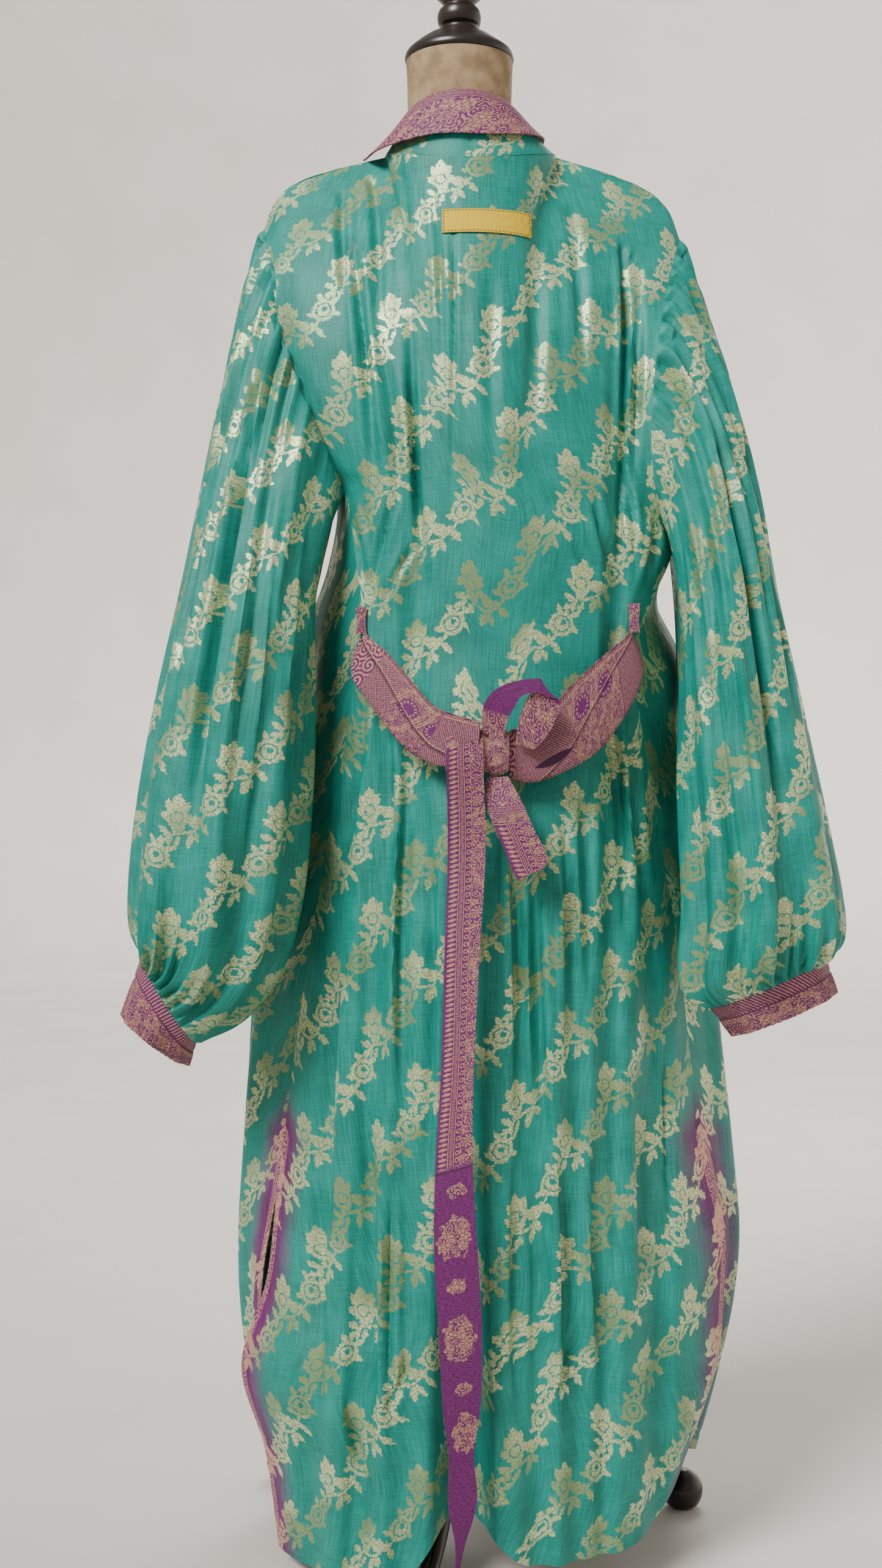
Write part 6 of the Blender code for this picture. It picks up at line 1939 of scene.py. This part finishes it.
def build_long_tail():
    """Long end: level lines between its two edges, twisted by a sine and slanted at the top."""
    heights = np.linspace(TAIL_LONG[-1, 0], TAIL_LONG[0, 0], TAIL_LONG_ROWS)
    rows = spline(TAIL_LONG[::-1], heights)
    twist = TAIL_TWIST * np.sin(TWIST_RATE * heights)
    slant = TAIL_SLANT * ramp((heights - TAIL_LONG[3, 0]) / (TAIL_LONG[0, 0] - TAIL_LONG[3, 0]))
    left = np.stack([rows[:, 0], rows[:, 2] - twist, heights - slant], axis=1)[::-1]
    right = np.stack([rows[:, 1], rows[:, 2] + twist, heights], axis=1)[::-1]
    belt_piece("belt_tail_long", between(left, right, TAIL_COLUMNS), LONG_TAIL_JACQUARD,
               centred=True)


def build_short_tail():
    """Short end: straight lines between its two edges."""
    rows = evenly(TAIL_SHORT, TAIL_SHORT_ROWS)
    left = rows[:, [0, 4, 1]] + SHORT_TURN * DEPTHWARDS
    belt_piece("belt_tail_short", between(left, rows[:, [2, 4, 3]], SHORT_COLUMNS),
               SHORT_TAIL_JACQUARD, centred=True)


def build_bow_loop():
    """Bow loop: a strip along a path, as wide to each side as the table says."""
    rows = evenly(BOW_LOOP, BOW_ROWS)
    across = unit(rows[:, [4, 4, 5]] * UPRIGHT) * rows[:, 3:4]
    middle = rows[:, 0:3]
    belt_piece("belt_bow_loop", between(middle - across, middle + across, TAIL_COLUMNS),
               LOOP_JACQUARD, centred=True)


def build_tab(side, x, y, top, bottom, width):
    """Flat tab, pinched between its ends."""
    half = evenly(0.5 * width * TAB_PINCH[:, None], TAB_ROWS)[:, 0]
    heights = np.linspace(top, bottom, len(half))
    depth = np.full(len(half), y)
    left = np.stack([x - half, depth, heights], axis=1)
    right = np.stack([x + half, depth, heights], axis=1)
    belt_piece(f"belt_tab_{side}", between(left, right, TAB_COLUMNS), FINE_JACQUARD, centred=True)


def between(left, right, count):
    """Grid of straight lines from one edge to the other."""
    t = np.linspace(0.0, 1.0, count + 1)[None, :, None]
    return left[:, None] * (1.0 - t) + right[:, None] * t


def closed_rings(name, rings, finish):
    """Closed body: rings of points with a pole at each end, the quads there shrunk to a point."""
    first = np.broadcast_to(rings[0].mean(axis=0), rings[0].shape)
    last = np.broadcast_to(rings[-1].mean(axis=0), rings[-1].shape)
    rings = np.concatenate([
        (first + (rings[0] - first) * POLE_SHARE)[None], rings,
        (last + (rings[-1] - last) * POLE_SHARE)[None]])
    height, wide = rings.shape[:2]
    row, column = corner_pairs(height - 1, wide)
    faces = row * wide + column % wide
    a, b, c = (rings.reshape(-1, 3)[faces[:, k]] for k in (0, 1, 2))
    if np.sum(a * np.cross(b, c)) + np.sum(
            a * np.cross(c, rings.reshape(-1, 3)[faces[:, 3]])) < 0.0:
        faces = faces[:, ::-1]
    u = lengths(np.concatenate([rings, rings[:, :1]], axis=1), 1)
    v = lengths(rings, 0)
    uv = np.stack([u[:, :-1], v], axis=2).reshape(-1, 2)[faces.ravel()]
    return make_object(name, rings.reshape(-1, 3), faces, uv, finish)


def build_knot():
    """Knot: a squarish turned body, pinched round its waist and wrinkled."""
    profile = evenly(KNOT_PROFILE, KNOT_ROWS)
    angle = ring_angles(KNOT_COLUMNS)
    cos = np.sign(np.cos(angle)) * np.abs(np.cos(angle)) ** KNOT_SQUARENESS
    sin = np.sign(np.sin(angle)) * np.abs(np.sin(angle)) ** KNOT_SQUARENESS
    x = np.broadcast_to(profile[:, :1] * KNOT_HALF[0], (len(profile), len(angle)))
    wrinkle = np.sin(KNOT_WRINKLES * angle[None] + KNOT_WIND * profile[:, :1])
    pinch = 1.0 - KNOT_PINCH * (0.5 + 0.5 * wrinkle)
    waist = 1.0 - groove(profile[:, :1], *KNOT_WAIST)
    y = cos[None] * KNOT_HALF[1] * profile[:, 1:] * pinch * waist
    z = sin[None] * KNOT_HALF[2] * profile[:, 1:] * pinch * waist
    made = closed_rings("belt_knot_cloth", KNOT_CENTRE + np.stack([x, y, z], axis=2), FINE_JACQUARD)
    stand_for(made, "belt_knot")


# The dress form

def turned(name, node, profile, finish, columns=TURNED_COLUMNS, rows=None):
    """Turned piece: circles round the form's axis from a table of heights and radii, or ovals
    where the table has a half depth too."""
    fine = evenly(profile, rows or (len(profile) - 1) * TURNED_STEPS + 1)
    angle = ring_angles(columns)
    wide = fine[:, 1:2]
    deep = fine[:, -1:]
    x = FORM_AXIS_X + wide * np.cos(angle)
    y = deep * np.sin(angle)
    z = np.broadcast_to(fine[:, :1], x.shape)
    made = closed_rings(name, np.stack([x, y, z], axis=2), finish)
    return stand_for(made, node)


def build_form():
    """Dress form on its stand: turned pieces one above the other, and the legs."""
    turned("form_torso_cover", "form_torso", FORM_RINGS, LINEN,
           TORSO_COLUMNS, TORSO_ROWS)
    for node, profile in (("form_neck_cap", NECK_CAP), ("form_finial", FINIAL),
                          ("stand_pole", POLE), ("stand_hub", HUB)):
        turned(f"{node}_wood", node, profile, WOOD)
    for number, degrees in enumerate(LEG_ANGLES, 1):
        build_leg(number, math.radians(degrees))


def build_leg(number, turn):
    """One leg: an oval carried along a path in the plane of its turn, and its round foot."""
    path = evenly(LEG_PATH, LEG_ROWS)
    out = np.array([math.cos(turn), math.sin(turn), 0.0])
    side = np.array([-math.sin(turn), math.cos(turn), 0.0])
    up = np.array([0.0, 0.0, 1.0])
    axis = np.array([FORM_AXIS_X, 0.0, 0.0])
    centre = axis + path[:, :1] * out + path[:, 1:2] * up
    forward = unit(np.gradient(centre, axis=0))
    over = np.cross(forward, side)
    angle = ring_angles(LEG_COLUMNS)
    rings = (centre[:, None] + np.cos(angle)[None, :, None] * side * path[:, 2][:, None, None]
             + np.sin(angle)[None, :, None] * over[:, None] * path[:, 3][:, None, None])
    leg = closed_rings(f"stand_leg_{number}_wood", rings, WOOD)
    stand_for(leg, f"stand_leg_{number}")
    fine = evenly(FOOT_PROFILE, FOOT_ROWS)
    middle = axis + FOOT_CENTRE * out
    circle = np.cos(angle)[:, None] * out + np.sin(angle)[:, None] * side
    rings = middle + fine[:, 1][:, None, None] * circle + fine[:, 0][:, None, None] * up
    foot = closed_rings(f"stand_foot_{number}_wood", rings, WOOD)
    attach(foot, "root")


# Stage, lights and camera

def build_stage():
    """Pale floor that curves up into a pale wall all round, far outside the object."""
    fine = evenly(STAGE_PROFILE, STAGE_ROWS)
    angle = ring_angles(STAGE_COLUMNS)
    radius = np.maximum(fine[:, :1], STAGE_MIDDLE)
    x = radius * np.cos(angle)
    y = radius * np.sin(angle)
    z = np.broadcast_to(fine[:, 1:], x.shape)
    rings = np.stack([x, y, z], axis=2) - PLACE * LEVEL
    row, column = corner_pairs(len(fine) - 1, STAGE_COLUMNS)
    faces = row * STAGE_COLUMNS + column % STAGE_COLUMNS
    uv = np.zeros((faces.size, 2))
    floor = plain("floor_pale", (0.780, 0.745, 0.700), (0.740, 0.705, 0.660), 0.7, 3.0, 0.0002)
    made = make_object("studio_floor", rings.reshape(-1, 3), faces, uv, floor)


def area_light(name, place, aim, size, power, colour):
    """Round soft light, turned towards the place that it aims at."""
    data = bpy.data.lights.new(name, "AREA")
    data.shape = "DISK"
    data.size = size
    data.energy = power
    data.color = colour
    made = place_object(name, data)
    made.location = place
    direction = np.array(aim) - np.array(place)
    made.rotation_euler = mathutils.Vector(direction).to_track_quat("-Z", "Y").to_euler()


def build_light():
    """Even pale surroundings, a key light and a weak rim light."""
    world = bpy.data.worlds.new("studio_world")
    world.use_nodes = True
    back = world.node_tree.nodes["Background"]
    back.inputs["Color"].default_value = (*WORLD_COLOUR, 1.0)
    back.inputs["Strength"].default_value = WORLD_STRENGTH
    bpy.context.scene.world = world
    data = bpy.data.lights.new("key_light", "SUN")
    data.energy = KEY_STRENGTH
    data.angle = math.radians(KEY_WIDTH)
    data.color = KEY_COLOUR
    made = place_object("key_light", data)
    made.rotation_euler = mathutils.Vector(KEY_DIRECTION).to_track_quat("-Z", "Y").to_euler()
    area_light("rim_light", *RIM_LIGHT)


def build_camera():
    """Level camera on the photo's side, its lens from a focal length in the photo's pixels."""
    data = bpy.data.cameras.new("view")
    data.sensor_width = SENSOR
    data.lens = SENSOR * FOCAL_PIXELS / IMAGE_HEIGHT
    made = place_object("view", data)
    made.location = np.array(CAMERA_PLACE) + PLACE
    made.rotation_euler = (0.5 * math.pi, 0.0, 0.0)
    bpy.context.scene.camera = made


build_robe()
build_belt()
build_form()
build_stage()
build_light()
build_camera()
